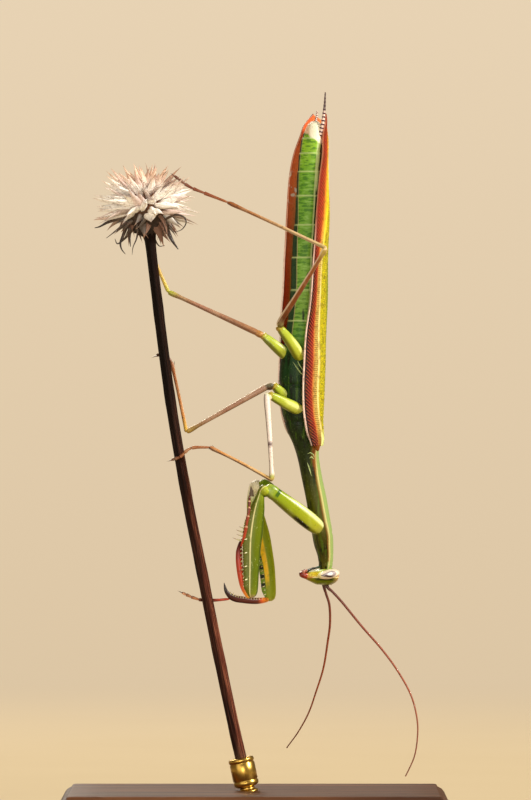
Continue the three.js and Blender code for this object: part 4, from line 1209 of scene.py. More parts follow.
WALKING_LEGS = {
    "midleg_right": {
        "coxa": [(5.9, -1, 50.4), (3.6, -3.3, 51.5), (1.62, -4.4, 52.5)],
        "femur": [(1.44, -4.5, 52.6), (1.82, -6.1, 47.4), (2.1, -7.6, 42.25)],
        "tibia": [(2.13, -7.6, 42.25), (-1.6, -5.5, 44.3), (-5.34, -3.55, 46.15)],
        "tarsus": [(-5.34, -3.55, 46.15), (-7.7, -3.3, 46), (-8.9, -3.28, 45), (-9.92, -3, 44.62)],
    },
    "midleg_left": {
        "coxa": [(4.7, 0, 51.4), (3.4, -1.3, 52.5), (2.22, -2.2, 53.6)],
        "femur": [(2.04, -2.3, 53.72), (-3.1, -1.9, 50.8), (-8.14, -1.4, 47.97)],
        "tibia": [(-8.14, -1.4, 47.97), (-9.05, -1.1, 52.3), (-9.95, -0.7, 56.36)],
        "tarsus": [(-9.95, -0.7, 56.36), (-10.5, -0.65, 57), (-11.2, -0.7, 57.3), (-11.75, -1.1, 57.1)],
    },
    "hindleg_right": {
        "coxa": [(5.7, -1.1, 56.5), (4.4, -3, 58.6), (2.81, -4.2, 60.64)],
        "femur": [(2.81, -4.3, 60.76), (5.8, -8.2, 65.4), (8.48, -12.4, 69.79)],
        "tibia": [(8.48, -12.4, 69.79), (2.7, -8.6, 72.6), (-3.16, -4.9, 75.38)],
        "tarsus": [(-3.16, -4.9, 75.38), (-5.95, -4.3, 76.5), (-7.8, -3.9, 77.3), (-9.6, -3.8, 78.6)],
    },
    "hindleg_left": {
        "coxa": [(4.6, -0.1, 56.6), (2.8, -0.9, 58), (0.9, -1.15, 59.6)],
        "femur": [(0.8, -1.15, 59.64), (-4.7, 1.2, 62.2), (-10.37, 3.6, 64.81)],
        "tibia": [(-10.37, 3.6, 64.81), (-13.2, 4.6, 71.3), (-16.01, 5.5, 77.76)],
        "tarsus": [(-16.01, 5.5, 77.76), (-16.2, 4.4, 77.9), (-15.7, 3.2, 77.8), (-15.1, 2.2, 77.4)],
    },
}
WALKING_GIRTHS = {
    "coxa": [
        (0, 0.2), (0.04, 0.5), (0.12, 0.68), (0.35, 0.74), (0.75, 0.58), (0.88, 0.5), (0.92, 0.44),
        (0.96, 0.48), (0.99, 0.36), (1, 0.2),
    ],
    "femur": [
        (0, 0.2), (0.02, 0.3), (0.08, 0.38), (0.3, 0.34), (0.85, 0.25), (0.95, 0.33), (0.99, 0.28), (1, 0.14),
    ],
    "tibia": [(0, 0.16), (0.02, 0.24), (0.1, 0.22), (0.8, 0.2), (0.96, 0.26), (1, 0.18)],
}
FOOT_JOINTS = (0, 0.42, 0.62, 0.78, 0.9, 1)
FOOT_RADIUS = 0.21

# Where the dark lower edge runs round each pair of hips
HIP_EDGES = {"foreleg": 0.6, "midleg": 0.66, "hindleg": 0.64}


def foot_girth(share):
    """Each joint of a foot widens to its end and is nipped where it meets the next."""
    start = max(joint for joint in FOOT_JOINTS[:-1] if joint <= share)
    end = FOOT_JOINTS[FOOT_JOINTS.index(start) + 1]
    along = (share - start) / (end - start)
    widening = FOOT_RADIUS * (0.72 + 0.36 * along**2)
    return (widening * (1 - 0.35 * bump(along, 0.1)) * (1 - 0.5 * bump(share - 1, 0.03)),) * 2


def growth_tree():
    """Pointed growths on the start mesh's points. Each leans along 'lie', is flat and bends towards
    'face', and is as long and wide as its point says."""
    tree = MeshTree("pointed_growths", belly=0.0, flatness=1.0, bend=0.0, uneven=0.0, seed=1, material="")
    cone = tree.node("GeometryNodeMeshCone", {
        "Vertices": 8, "Side Segments": 10, "Fill Segments": 1,
        "Radius Top": 0.02, "Radius Bottom": 1.0, "Depth": 1.0,
    }).outputs["Mesh"]
    x, y, share = tree.parts(tree.node("GeometryNodeInputPosition", {}).outputs[0])
    cone = tree.store(cone, "along", share)
    open_share = 1.0 - share
    fuller = 1.0 + share * open_share * 4.0 * tree.given("belly") * 2.0
    wide = x * fuller
    thin = y * fuller * tree.given("flatness")
    shaped = tree.vector(wide, thin, share)
    cone = tree.node("GeometryNodeSetPosition", {"Geometry": cone, "Position": shaped}).outputs["Geometry"]
    lie, face = tree.named("lie", "FLOAT_VECTOR"), tree.named("face", "FLOAT_VECTOR")
    turn = tree.node("FunctionNodeAlignRotationToVector", {"Vector": lie}, axis="Z")
    inputs = {"Rotation": turn.outputs["Rotation"], "Vector": face}
    turn = tree.node("FunctionNodeAlignRotationToVector", inputs, axis="Y", pivot_axis="Z")
    size = tree.vector(tree.named("wide"), tree.named("wide"), tree.named("long"))
    grown = tree.node("GeometryNodeInstanceOnPoints", {
        "Points": tree.given(), "Instance": cone, "Rotation": turn.outputs["Rotation"], "Scale": size,
    }).outputs["Instances"]
    inputs = {"ID": tree.node("GeometryNodeInputID", {}).outputs[0], "Seed": tree.given("seed")}
    chance = tree.node("FunctionNodeRandomValue", inputs, data_type="FLOAT")
    inputs = {"Geometry": grown, "Name": "chance", "Value": chance.outputs[1]}
    grown = tree.node("GeometryNodeStoreNamedAttribute", inputs, data_type="FLOAT", domain="INSTANCE")
    grown = grown.outputs["Geometry"]
    real = tree.node("GeometryNodeRealizeInstances", {"Geometry": grown}).outputs["Geometry"]
    lift = tree.named("along") * tree.named("along")
    drift = (tree.named("chance") - 0.5) * tree.given("uneven")
    lift = lift * (tree.given("bend") + drift) * tree.named("long")
    inputs = {0: tree.named("face", "FLOAT_VECTOR"), "Scale": lift}
    offset = tree.node("ShaderNodeVectorMath", inputs, operation="SCALE")
    bent = tree.node("GeometryNodeSetPosition", {"Geometry": real, "Offset": offset.outputs["Vector"]})
    tree.finish(bent.outputs["Geometry"])
    return tree


class Roots:
    """The places that pointed growths stand on, with how each one lies."""

    def __init__(self):
        self.points, self.lies, self.faces, self.longs, self.wides = [], [], [], [], []

    def add(self, point, lie, face, length, radius, sunk=0.12):
        """Takes in one growth, whose root is sunk into what it stands on."""
        lie = lie.normalized()
        self.points.append((point - sunk * lie) * MM)
        self.lies += lie[:]
        self.faces += (face - face.dot(lie) * lie).normalized()[:]
        self.longs.append((length + sunk) * MM)
        self.wides.append(radius * MM)

    def mesh(self, name):
        made = bpy.data.meshes.new(name)
        made.from_pydata(self.points, [], [])
        for key, values in (("lie", self.lies), ("face", self.faces)):
            made.attributes.new(key, "FLOAT_VECTOR", "POINT").data.foreach_set("vector", values)
        for key, values in (("long", self.longs), ("wide", self.wides)):
            made.attributes.new(key, "FLOAT", "POINT").data.foreach_set("value", values)
        return made


def girth(stations):
    """The half depth and thickness at a share of a limb, from its table of stations."""
    return lambda share: (smooth(stations, share) * 2)[:2]


def claw_roots(roots, course, deep, length=0.62):
    """Two hooked claws that part at the end of a foot."""
    centre, along, across, _ = course.frame(0.985, deep)
    for side in (1, -1):
        out = side * across
        roots.add(centre + 0.07 * out, along + 0.75 * out, -out, length, 0.075)


def walking_leg(name, parts):
    """The hip as one skin, the rest of the leg as another, and the courses that they follow."""
    courses = {segment: Course(points) for segment, points in parts.items()}

    def hip_swell(share, angle):
        return 1 + 0.05 * math.cos(3 * angle)

    hip_girth = girth(WALKING_GIRTHS["coxa"])
    hip = limb(courses["coxa"], hip_girth, SIDE_ON, sides=24, steps=60, swell=hip_swell)
    start, end = courses["coxa"].at(0.95), courses["femur"].at(0.07)
    joint = Course([start, start.lerp(end, 0.5), end])
    joint_girth = girth([(0, 0.2), (0.3, 0.4), (0.8, 0.37), (1, 0.25)])
    tubes = [limb(joint, joint_girth, SIDE_ON, steps=16, lie=(0.24, 0.26))]
    for segment, lie in (("femur", (0.25, 0.5)), ("tibia", (0.5, 0.75))):
        segment_girth = girth(WALKING_GIRTHS[segment])
        tubes.append(limb(courses[segment], segment_girth, SIDE_ON, steps=90, lie=lie))
    tubes.append(limb(courses["tarsus"], foot_girth, RIGHT, sides=16, steps=110, lie=(0.75, 1)))
    return skin(f"{name}_hip", [hip]), skin(name, tubes), courses


def hip_finish(name, edge, blotched):
    """Bright yellow-green cuticle with a painted highlight on its upper face, a dark brown lower edge and
    fine grains.
    """
    finish = Finish(name, 0.34, Specular_IOR_Level=0.35, Coat_Weight=0.2, Coat_Roughness=0.2)
    along, around = finish.lie()
    finish.colour = finish.ramp(
        along,
        (0.0, "a09e44"), (0.14, "a8ac1c"), (0.5, "95a400"), (0.85, "88a000"), (0.93, "5e8008"),
        (1.0, "9aae1c"),
    )
    pale = finish.noise(1.0, 2, finish.stretched(500, 500, 240))
    finish.paint(pale.step(0.48, 0.7), "d4e47c", 0.45)
    from_edge = (around - edge).maths("ABSOLUTE")
    finish.paint(from_edge.step(0.14, 0.06), "5c5a10", 0.85)
    # Painted highlight: a pale band along the upper face of the hip.
    top = around.near(0.94, 0.08, 0.02)
    finish.paint(top * along.step(0.75, 0.5), "f2f8b4", 0.7)
    if blotched:
        stretch = finish.curve(along, (0, 0), (0.14, 0), (0.24, 1), (0.4, 1), (0.5, 0), (1, 0))
        blotch_face = around.near(0.66, 0.06, 0.04)
        finish.paint(blotch_face * stretch, "16180a", 0.95)
        notch = along.near(0.82, 0.03, 0.018)
        finish.paint(notch * around.step(0.72, 0.8), "2f5a0a", 0.9)
    else:
        finish.paint(from_edge.step(0.08, 0.16), "e8f060", 0.3)
        finish.paint(along.step(0.86, 1.0), "b8842c", 0.6)
    grains = finish.patches(4200, 2, 0.68, 0.74)
    finish.paint(grains, "5a6a18", 0.5)
    return finish.made(finish.noise(6500, 4), 0.00002)


def leg_finish(name, shade_stripe_strength, thigh_shade_place, highlight_strength, *stops):
    """Cuticle whose colour runs along the leg: thigh, shin and foot are a quarter each. A stripe of painted
    shade follows the underside and a stripe of painted highlight the upper side."""
    finish = Finish(name, 0.4, Specular_IOR_Level=0.3, Coat_Weight=0.1, Coat_Roughness=0.25)
    along, around = finish.lie()
    finish.colour = finish.ramp(along, *stops)
    past_knee = along.step(0.495, 0.505)
    underside = thigh_shade_place + past_knee * (0.5 - thigh_shade_place)
    from_stripe = (around - underside).maths("PINGPONG", 0.5)
    above_foot = along.step(0.76, 0.74)
    # Painted highlight: a pale stripe along the upper side, above the foot.
    light = from_stripe.step(0.36, 0.42) * above_foot
    finish.paint(light, "ffe6c4", highlight_strength)
    # Painted shade: a dark stripe along the underside.
    finish.paint(from_stripe.step(0.14, 0.08), "4a2620", shade_stripe_strength)
    finish.paint(finish.patches(2300, 3, 0.56, 0.7), "5c2e18", 0.4)
    finish.paint(finish.patches(700, 2, 0.45, 0.7), "fff0c8", 0.12)
    return finish.made(finish.noise(6500, 4), 0.00002)


def claw_finish():
    """Glossy horn, brown at the root and nearly black at the point."""
    finish = Finish("dark_claws", 0.25, Coat_Weight=0.5, Coat_Roughness=0.1)
    finish.colour = finish.ramp(finish.attribute("along"), (0.0, "8a4a28"), (0.5, "4e2012"), (1.0, "1c0c08"))
    return finish.made(finish.noise(9000, 2), 0.00001)


# Strength of the painted shade stripe, its place round the thigh, and strength of the painted highlight
# stripe
SHADE_AND_HIGHLIGHT_STRIPES = {
    "midleg_right": (0.85, 0.5, 0.3), "midleg_left": (0.55, 0.0, 0.5),
    "hindleg_right": (0.5, 0.0, 0.55), "hindleg_left": (0.5, 0.5, 0.3),
}

# Colours along each leg, from the thigh's root at 0.25 through the knee at 0.5 and the ankle at 0.75
LEG_STOPS = {
    "midleg_right": (
        (0.24, "b4c85a"), (0.26, "e6d8ce"), (0.387, "eadcd4"), (0.398, "4c2c34"), (0.409, "e4d4ca"),
        (0.48, "e6d6ca"), (0.49, "a9ad4a"), (0.51, "e4bc74"), (0.56, "e2b478"), (0.7, "d49454"),
        (0.76, "9a5428"), (0.9, "9a5a30"), (1.0, "5a2a18"),
    ),
    "midleg_left": (
        (0.24, "3e3a14"), (0.262, "2a2410"), (0.27, "a88470"), (0.31, "a07a66"), (0.44, "94664e"),
        (0.48, "8a7038"), (0.51, "d0a840"), (0.56, "b8742c"), (0.72, "9a5420"), (0.78, "7a3c1c"),
        (1.0, "3c1c12"),
    ),
    "hindleg_right": (
        (0.24, "6a6420"), (0.27, "5e3014"), (0.31, "7e4218"), (0.4, "8a4a20"), (0.46, "9a5a30"),
        (0.49, "b9a24e"), (0.52, "e0c490"), (0.6, "dcb888"), (0.68, "b98050"), (0.75, "9a5a30"),
        (0.82, "8a4628"), (1.0, "5a2616"),
    ),
    "hindleg_left": (
        (0.24, "c08a3c"), (0.26, "a8744c"), (0.32, "a07458"), (0.42, "b08068"), (0.47, "a8845a"),
        (0.495, "b9c04a"), (0.52, "d6b84a"), (0.6, "b98440"), (0.75, "8a5228"), (1.0, "5a2a18"),
    ),
}

growths = growth_tree()
claw_material = claw_finish()
hip_materials = {
    place: hip_finish(f"hip_cuticle_{place}", edge, place == "foreleg") for place, edge in HIP_EDGES.items()
}
claws = Roots()
for name, parts in WALKING_LEGS.items():
    hip, leg, courses = walking_leg(name, parts)
    piece(f"mantis_{name}_hip", hip, hip_materials[name.split("_")[0]], "coxa_green", f"{name}_coxa")
    nodes = [f"{name}_{segment}" for segment in ("femur", "tibia", "tarsus")]
    leg_material = leg_finish(f"{name}_cuticle", *SHADE_AND_HIGHLIGHT_STRIPES[name], *LEG_STOPS[name])
    piece(f"mantis_{name}", leg, leg_material, "leg_tan", *nodes)
    claw_roots(claws, courses["tarsus"], RIGHT)
    centre, along, across, over = courses["tibia"].frame(0.95, SIDE_ON)
    for side in (1, -1):
        spur = along + 0.5 * side * across - 0.3 * over
        claws.add(centre + 0.18 * side * across - 0.1 * over, spur, over, 0.5, 0.07)


# ---------- Forelegs ----------
# The grasping legs. A long three-sided hip carries a deep flattened thigh, grooved between two rows
# of dark-based spines, and a toothed shin that folds against it and ends in a strong hook. The thin
# foot stands on the shin before the hook.

FORELEGS = {
    "foreleg_right": {
        "side": 1,
        "shin_faces": Vector((1, 0, 0.3)),
        "coxa": [(8.1, -0.9, 36.1), (5, -2.1, 38.6), (1.3, -3.2, 41.4)],
        "femur": [
            (0.95, -3.3, 41.4), (0.28, -3.4, 38.4), (-0.15, -3.45, 35), (-0.28, -3.5, 31.4),
            (-0.36, -3.6, 28.2),
        ],
        "tibia": [
            (-0.6, -3.5, 28.1), (-1.3, -3.5, 29.4), (-1.72, -3.5, 31.4), (-1.85, -3.4, 33.2),
            (-1.7, -3.1, 34.6), (-1.25, -2.6, 35.5),
        ],
        "tarsus": [
            (-1.6, -3.5, 34.3), (-1.2, -4.1, 35.6), (-0.9, -4.5, 37.2), (-0.64, -4.45, 38.8),
            (-0.6, -4.1, 40.3),
        ],
    },
    "foreleg_left": {
        "side": -1,
        "shin_faces": Vector((0, 0, 1)),
        "coxa": [(7.7, 0.6, 36.2), (4, 1.6, 39.2), (0.55, 2.5, 41.9)],
        "femur": [
            (-0.15, 2.5, 41.9), (-0.3, 2.55, 40.5), (0.1, 2.6, 38.2), (0.95, 2.65, 34.8), (1.6, 2.6, 31.4),
            (1.9, 2.6, 27.6),
        ],
        "tibia": [
            (1.7, 2.5, 27.8), (0.3, 1.4, 27.65), (-1.3, 0.3, 27.8), (-2.6, -0.7, 28.1), (-3.35, -1, 28.8),
            (-3.65, -1, 29.9),
        ],
        "tarsus": [
            (-3, -0.85, 27.95), (-4.7, -0.72, 27.8), (-6.2, -0.72, 27.8), (-7.25, -0.9, 28.07),
            (-8.69, -1.2, 28.71),
        ],
    },
}

# How far round from the thigh's outer edge its pale ridge runs
RIDGE_PLACE = 0.3
FORELEG_GIRTHS = {
    "coxa": [
        (0, 0.3), (0.03, 0.7), (0.09, 0.92), (0.25, 1.03), (0.5, 0.98), (0.8, 0.8), (0.88, 0.83),
        (0.95, 0.74), (0.99, 0.5), (1, 0.25),
    ],
    "femur": [
        (0, 0.2, 0.2), (0.02, 0.38, 0.34), (0.08, 0.5, 0.46), (0.2, 0.83, 0.58), (0.42, 1, 0.6),
        (0.6, 0.9, 0.55), (0.8, 0.78, 0.52), (0.94, 0.7, 0.46), (0.985, 0.5, 0.36), (1, 0.2, 0.18),
    ],
    "tibia": [
        (0, 0.14, 0.14), (0.03, 0.27, 0.26), (0.12, 0.34, 0.3), (0.35, 0.39, 0.32), (0.72, 0.38, 0.29),
        (0.82, 0.27, 0.23), (0.94, 0.13, 0.12), (1, 0.03, 0.03),
    ],
}

# Shares of the segment, angle from its outer edge, lengths in turn, radius and lean along it
SPINE_ROWS = {
    "coxa": [
        (spread(0.2, 0.9, 9), 2.2, (0.24, 0.14), 0.07, 0.2),
        (spread(0.24, 0.86, 7), -1.9, (0.16, 0.1), 0.06, 0.2),
    ],
    "femur": [
        ((0.39, 0.425, 0.46, 0.5), 3.3, (0.7, 1.0, 0.9, 1.4), 0.12, -0.1),
        (spread(0.48, 0.84, 3), 2.3, (0.6, 0.5), 0.1, 0.35),
        (spread(0.44, 0.94, 15), 4, (0.34, 0.6), 0.09, 0.3),
        (spread(0.26, 0.9, 26), 2.65, (0.22, 0.15), 0.06, 0.1),
    ],
    "tibia": [
        (spread(0.16, 0.79, 12), 0.9, (0.34, 0.46), 0.085, 0.9),
        (spread(0.14, 0.77, 10), -0.9, (0.36, 0.46), 0.085, 0.9),
    ],
}


def blade_swell(share, angle):
    """The thigh's groove for the shin, the ridges on both sides of it and a keel on its outer edge."""
    along = blend(0.14, 0.34, share) * (1 - blend(0.9, 0.98, share))
    groove = 0.05 * bump(between(angle, HALF_TURN), 0.25)
    ridges = 0.44 * (bump(between(angle, 2.65), 0.42) + bump(between(angle, -2.65), 0.42))
    keel = 0.05 * bump(between(angle, 0), 0.2)
    return 1 + along * (ridges - groove) + keel * blend(0.1, 0.25, share)


def foreleg_parts(name, parts):
    """The hip, the thigh, and the shin with its foot, as three skins, and their courses."""
    courses = {segment: Course(parts[segment]) for segment in ("coxa", "femur", "tibia", "tarsus")}

    def hip_swell(share, angle):
        return 1 + 0.07 * math.cos(3 * angle + 0.6)

    girths = {segment: girth(stations) for segment, stations in FORELEG_GIRTHS.items()}
    hip = limb(courses["coxa"], girths["coxa"], SIDE_ON, sides=30, steps=110, swell=hip_swell)
    start, end = courses["coxa"].at(0.96), courses["femur"].at(0.06)
    joint = Course([start, start.lerp(end, 0.5), end])
    joint_girth = girth([(0, 0.5), (0.3, 0.78), (0.8, 0.66), (1, 0.3)])
    joint = limb(joint, joint_girth, SIDE_ON, sides=24, steps=18, lie=(0, 0.02))
    thigh = limb(courses["femur"], girths["femur"], SIDE_ON, sides=48, steps=130, swell=blade_swell)
    shin = limb(courses["tibia"], girths["tibia"], parts["shin_faces"], sides=28, steps=110, lie=(0, 0.5))
    foot = limb(courses["tarsus"], foot_girth, RIGHT, sides=18, steps=120, lie=(0.5, 1))
    skins = {"hip": [hip], "thigh": [joint, thigh], "shin": [shin, foot]}
    return [skin(f"{name}_{part}", tubes) for part, tubes in skins.items()], courses


def foreleg_spines(roots, parts, courses):
    """Stands the rows of spines on the hip, the thigh and the shin."""
    faces = {"coxa": SIDE_ON, "femur": SIDE_ON, "tibia": parts["shin_faces"]}
    for segment, rows in SPINE_ROWS.items():
        for shares, angle, lengths, radius, lean in rows:
            turned = parts["side"] * angle
            for index, share in enumerate(shares):
                centre, along, across, over = courses[segment].frame(share, faces[segment])
                depth, thickness = girth(FORELEG_GIRTHS[segment])(share)
                cosine, sine = math.cos(turned), math.sin(turned)
                swell = blade_swell(share, turned) if segment == "femur" else 1
                root = centre + swell * (depth * cosine * across + thickness * sine * over)
                lie = cosine * across + sine * over + lean * along
                roots.add(root, lie, -along, lengths[index % len(lengths)], radius, 0.18)


def thigh_finish(name, inner_face):
    """Green cuticle with a pale ridge, an olive strip beside the groove and a dark outer edge, both painted
    shade.
    The face that lies towards the other leg has a golden field and a row of black marks; painted light
    brightens it, its outer edge and its cream joint, and painted shade darkens the joint's hollow."""
    finish = Finish(name, 0.38, Specular_IOR_Level=0.22, Coat_Weight=0.06, Coat_Roughness=0.2)
    along, around = finish.lie()
    finish.colour = finish.ramp(
        along,
        (0.0, "a8b42c"), (0.06, "80901a"), (0.16, "627202"), (0.4, "647200"), (0.75, "586800"),
        (0.9, "606e00"), (0.97, "747c18"), (1.0, "c0a872"),
    )
    keel = around.maths("PINGPONG", 0.5)
    # Painted shade: the olive strip on the face beside the groove, which turns from the light.
    finish.paint(keel.step(RIDGE_PLACE, RIDGE_PLACE + 0.04), "5e6214", 0.85)
    if not inner_face:
        finish.paint(keel.near(RIDGE_PLACE, 0.02, 0.007), "e3dc9c", 0.9)
        beads = along.waves(22).step(-0.1, 0.3) * keel.step(0.405, 0.42)
        finish.paint(beads * along.step(0.36, 0.42), "16140a", 0.9)
    # Along the outer edge: painted shade on the outer thigh, a painted highlight on the inner one.
    finish.paint(keel.step(0.13, 0.05), "c8cc14" if inner_face else "384a04", 0.8)
    if inner_face:
        # Painted light: the inner face is lightened all over against the shadow that the body casts on it.
        finish.paint(0.5, "acbc20")
        gold = finish.curve(along, (0, 0), (0.26, 0), (0.38, 1), (0.76, 1), (0.92, 0), (1, 0))
        gold_face = around.near(0.29, 0.075, 0.03)
        finish.paint(gold * gold_face, "ffcc0c", 0.97)
        lower = around.near(0.4, 0.07, 0.05) * along.step(0.48, 0.56)
        finish.paint(lower, "6e9430", 0.9)
        marks = along.waves(13).step(-0.1, 0.4) * along.step(0.92, 0.88)
        finish.paint(marks * lower, "10140c", 0.95)
        # The cream joint, its own pale colour made paler still as painted light against the shadow it lies
        # in.
        finish.paint(along.step(0.2, 0.06), "f4ead0", 0.85)
        # Painted shade in the hollow of the joint.
        hollow_shade = along.near(0.075, 0.05, 0.035)
        hollow_face = around.near(0.27, 0.1, 0.06)
        finish.paint(hollow_shade * hollow_face, "4a2814", 0.9)
    finish.paint(finish.patches(1500, 3, 0.52, 0.7), "567006", 0.3)
    freckles = finish.patches(4600, 2, 0.66, 0.72)
    finish.paint(freckles, "e6ecaa", 0.25)
    return finish.made(finish.noise(6500, 4), 0.00002)


def shin_finish(name, darkness, ring_colour, *foot):
    """Red cuticle: an orange knee, a deep red shin running to a black hook, and a ringed red foot."""
    finish = Finish(name, 0.34, Specular_IOR_Level=0.35, Coat_Weight=0.15, Coat_Roughness=0.15)
    along = finish.lie()[0]
    finish.colour = finish.ramp(
        along,
        (0.0, "f0b050"), (0.03, "f0900c"), (0.09, "dc5c24"), (0.16, "c8421e"), (0.3, "ae3218"),
        (0.4, "661a10"), (0.45, "260c0c"), (0.5, "1c0a08"), (0.505, "c83c18"), (0.6, "c04424"), *foot,
    )
    darker = along.step(0.07, 0.13) * along.step(0.503, 0.5)
    finish.paint(darker, "1a0606", darkness)
    for joint in FOOT_JOINTS[1:-1]:
        ring = along.near(0.5 + 0.5 * joint, 0.012, 0.004)
        finish.paint(ring, ring_colour, 0.7)
    finish.paint(finish.patches(2600, 3, 0.5, 0.7), "3c120c", 0.35)
    return finish.made(finish.noise(7000, 3), 0.00002)


def spine_finish():
    """Pale green spines with a black base and a dark brown point."""
    finish = Finish("foreleg_spines", 0.28, Coat_Weight=0.4, Coat_Roughness=0.12)
    finish.colour = finish.ramp(
        finish.attribute("along"),
        (0.0, "2a2214"), (0.14, "4a4420"), (0.3, "d9dca0"), (0.6, "e8e2b4"), (0.8, "a0642e"), (1.0, "2e150c"),
    )
    finish.paint(finish.noise(9000, 2), "8a6a3a", 0.15)
    return finish.made()


thigh_materials = {
    "foreleg_right": thigh_finish("foreleg_thigh_outer", False),
    "foreleg_left": thigh_finish("foreleg_thigh_inner", True),
}
shin_materials = {
    "foreleg_right": shin_finish("foreleg_shin_folded", 0.1, "d9a883", (0.8, "8a3a2a"), (1.0, "4a1a12")),
    "foreleg_left": shin_finish(
        "foreleg_shin_raised", 0.88, "6a3020",
        (0.7, "4a1a12"), (0.79, "3a140e"), (0.82, "d89068"), (1.0, "e4a884"),
    ),
}
spine_material = spine_finish()
spines = Roots()
for name, parts in FORELEGS.items():
    (hip, thigh, shin), courses = foreleg_parts(name, parts)
    piece(f"mantis_{name}_hip", hip, hip_materials["foreleg"], "coxa_green", f"{name}_coxa")
    piece(f"mantis_{name}_thigh", thigh, thigh_materials[name], "cuticle_green", f"{name}_femur")
    piece(f"mantis_{name}_shin", shin, shin_materials[name], "tibia_red", f"{name}_tibia", f"{name}_tarsus")
    foreleg_spines(spines, parts, courses)
    claw_roots(claws, courses["tarsus"], RIGHT)

mesh = growths.run("spines", spines.mesh("spine_roots"), bend=0.12, belly=0.1, material=spine_material)
piece("mantis_foreleg_spines", mesh, spine_material, "leg_tan")
mesh = growths.run("claws", claws.mesh("claw_roots"), bend=0.35, belly=0.1, material=claw_material)
piece("mantis_claws", mesh, claw_material, "leg_tan")


# ---------- Perch ----------
# A cut length of dry flower stalk, ribbed and dark brown, with its dead flower head. A dense knob of
# small scales carries pointed papery bracts: white at the sides, pink-brown on top, and grey below,
# where the outermost ones have dried into dark hooks.

STALK = [
    (-1.2, -2, 6.9), (-2.9, -2, 14.6), (-4.67, -2, 23.06), (-6.58, -2, 32.64), (-8.03, -2, 39.83),
    (-10.07, -2, 51.8), (-11.64, -2, 63.77), (-12.5, -2, 71.2), (-12.62, -2, 73.2),
]
STALK_RADIUS = 0.66
STALK_TAPER = 0.07
STALK_RIBS = 9
FLOWER_CENTRE = Vector((-13.1, -2, 75.2))
FLOWER_RADIUS = 6.7
KNOB_CENTRE = Vector((-12.95, -2, 74.7))
KNOB_RADII = (2.7, 2.7, 3.2)

# Dried outer bracts: the radius of each one and its course from the knob to its point
FLOWER_HOOKS = [
    (0.26, [
        (-15.3, -3.2, 72.6), (-15.7, -4.4, 71.4), (-16, -4.9, 70.5), (-15.85, -5, 69.8), (-15.4, -4.9, 69.2),
    ]),
    (0.13, [(-13.9, -3.5, 72.2), (-14.1, -4.4, 71), (-14.5, -4.8, 70), (-14.6, -4.9, 69.1)]),
    (0.4, [(-10.9, -3.2, 73), (-10.3, -4, 71.8), (-9.8, -4.3, 70.8), (-9.1, -4.4, 69.8)]),
    (0.17, [
        (-11, -3.4, 73.2), (-10, -4.6, 73.7), (-9.2, -5.1, 73.9), (-8.4, -5.2, 73.6), (-8.15, -5.2, 73),
        (-8.6, -5.1, 72.2), (-9.5, -5, 71.8),
    ]),
    (0.3, [(-16, -3.4, 73.6), (-17.6, -4.2, 73), (-18.5, -4.3, 72.5), (-19.1, -4.3, 72.35)]),
    (0.24, [(-14.9, -3.4, 72.2), (-14.9, -4.4, 71.1), (-14.8, -4.6, 70.1)]),
    (0.16, [(-15.6, -3.4, 72.8), (-16.8, -4.6, 71.8), (-17.7, -4.9, 71.1)]),
    (0.2, [(-12.2, -0.6, 72.6), (-12, 1, 71.2), (-11.4, 1.9, 70.3), (-10.8, 2.2, 70.4)]),
    (0.22, [(-14.4, -0.4, 72.5), (-15.6, 1.2, 71.2), (-16.5, 2, 70.6), (-16.8, 2.5, 71.2)]),
]


def stalk_swell(share, angle):
    """Ribs that wind slowly up the stalk, leaf scars between them, and the head's thick base."""
    rib = 0.045 * math.cos(STALK_RIBS * angle + 2.5 * share)
    scar = 0.05 * max(math.sin(40 * share + 5 * math.sin(angle)), 0) ** 8
    return 1 + rib + scar + 0.5 * bump(share - 1.0, 0.03)


def stalk_finish():
    """Dry bark: dark brown ribs with red-brown and grey fibres between them, and painted shade down the left
    side.
    """
    finish = Finish("dry_stalk", 0.7, Specular_IOR_Level=0.12)
    along, around = finish.lie()
    fibre = finish.noise(1.0, 5, finish.vector(along * 14.0, around * 60.0))
    finish.colour = finish.ramp(fibre, (0.3, "1a0a06"), (0.45, "3a1a10"), (0.55, "6e3422"), (0.68, "b87858"))
    # Painted shade: the stalk's left side, away from the key lamp, is darkened nearly to black.
    finish.paint(around.near(0.5, 0.34, 0.2), "0c0402", 0.8)
    finish.paint(along.step(0.25, 0.75), "080200", 0.92)
    finish.paint(along.step(0.06, 0.0), "8a6a4a", 0.4)
    return finish.made(fibre, 0.00009)


def knob_finish():
    """Rough seed bed, grey-brown below and tan on top."""
    finish = Finish("flower_knob", 0.85)
    z = finish.axes()[2]
    finish.colour = finish.ramp(
        z.share(0.0718, 0.0782),
        (0.0, "241a14"), (0.3, "4a3a30"), (0.5, "7a5038"), (0.75, "a86c46"), (1.0, "c4946c"),
    )
    finish.paint(finish.patches(1500, 4, 0.42, 0.66), "2e1c14", 0.6)
    return finish.made(finish.noise(2400, 4), 0.0003)


def bract_finish(name, below, above, top):
    """Papery bract, coloured by its height on the head, darker in its root and ribbed lengthwise."""
    finish = Finish(name, 0.7, Sheen_Weight=0.1)
    z = finish.axes()[2]
    height = z.share(0.0705, 0.0805)
    stops = [(0.0, below), (0.2, below), (0.34, above), (0.66, above), (0.82, top), (1.0, top)]
    finish.colour = finish.ramp(height, *stops)
    along = finish.attribute("along")
    finish.paint(along.step(0.35, 0.05), "7a4c36", 0.75)
    finish.paint(along.step(0.75, 1.0), "c08a62", 0.5)
    streaks = finish.noise(2600, 3)
    chance = finish.attribute("chance")
    finish.paint(chance.step(0.82, 0.86), "8a5a40", 0.55)
    finish.paint(chance.step(0.18, 0.1), "c89a90", 0.5)
    finish.paint(streaks.step(0.54, 0.68), "8a5a46", 0.35)
    return finish.made(streaks, 0.00005)


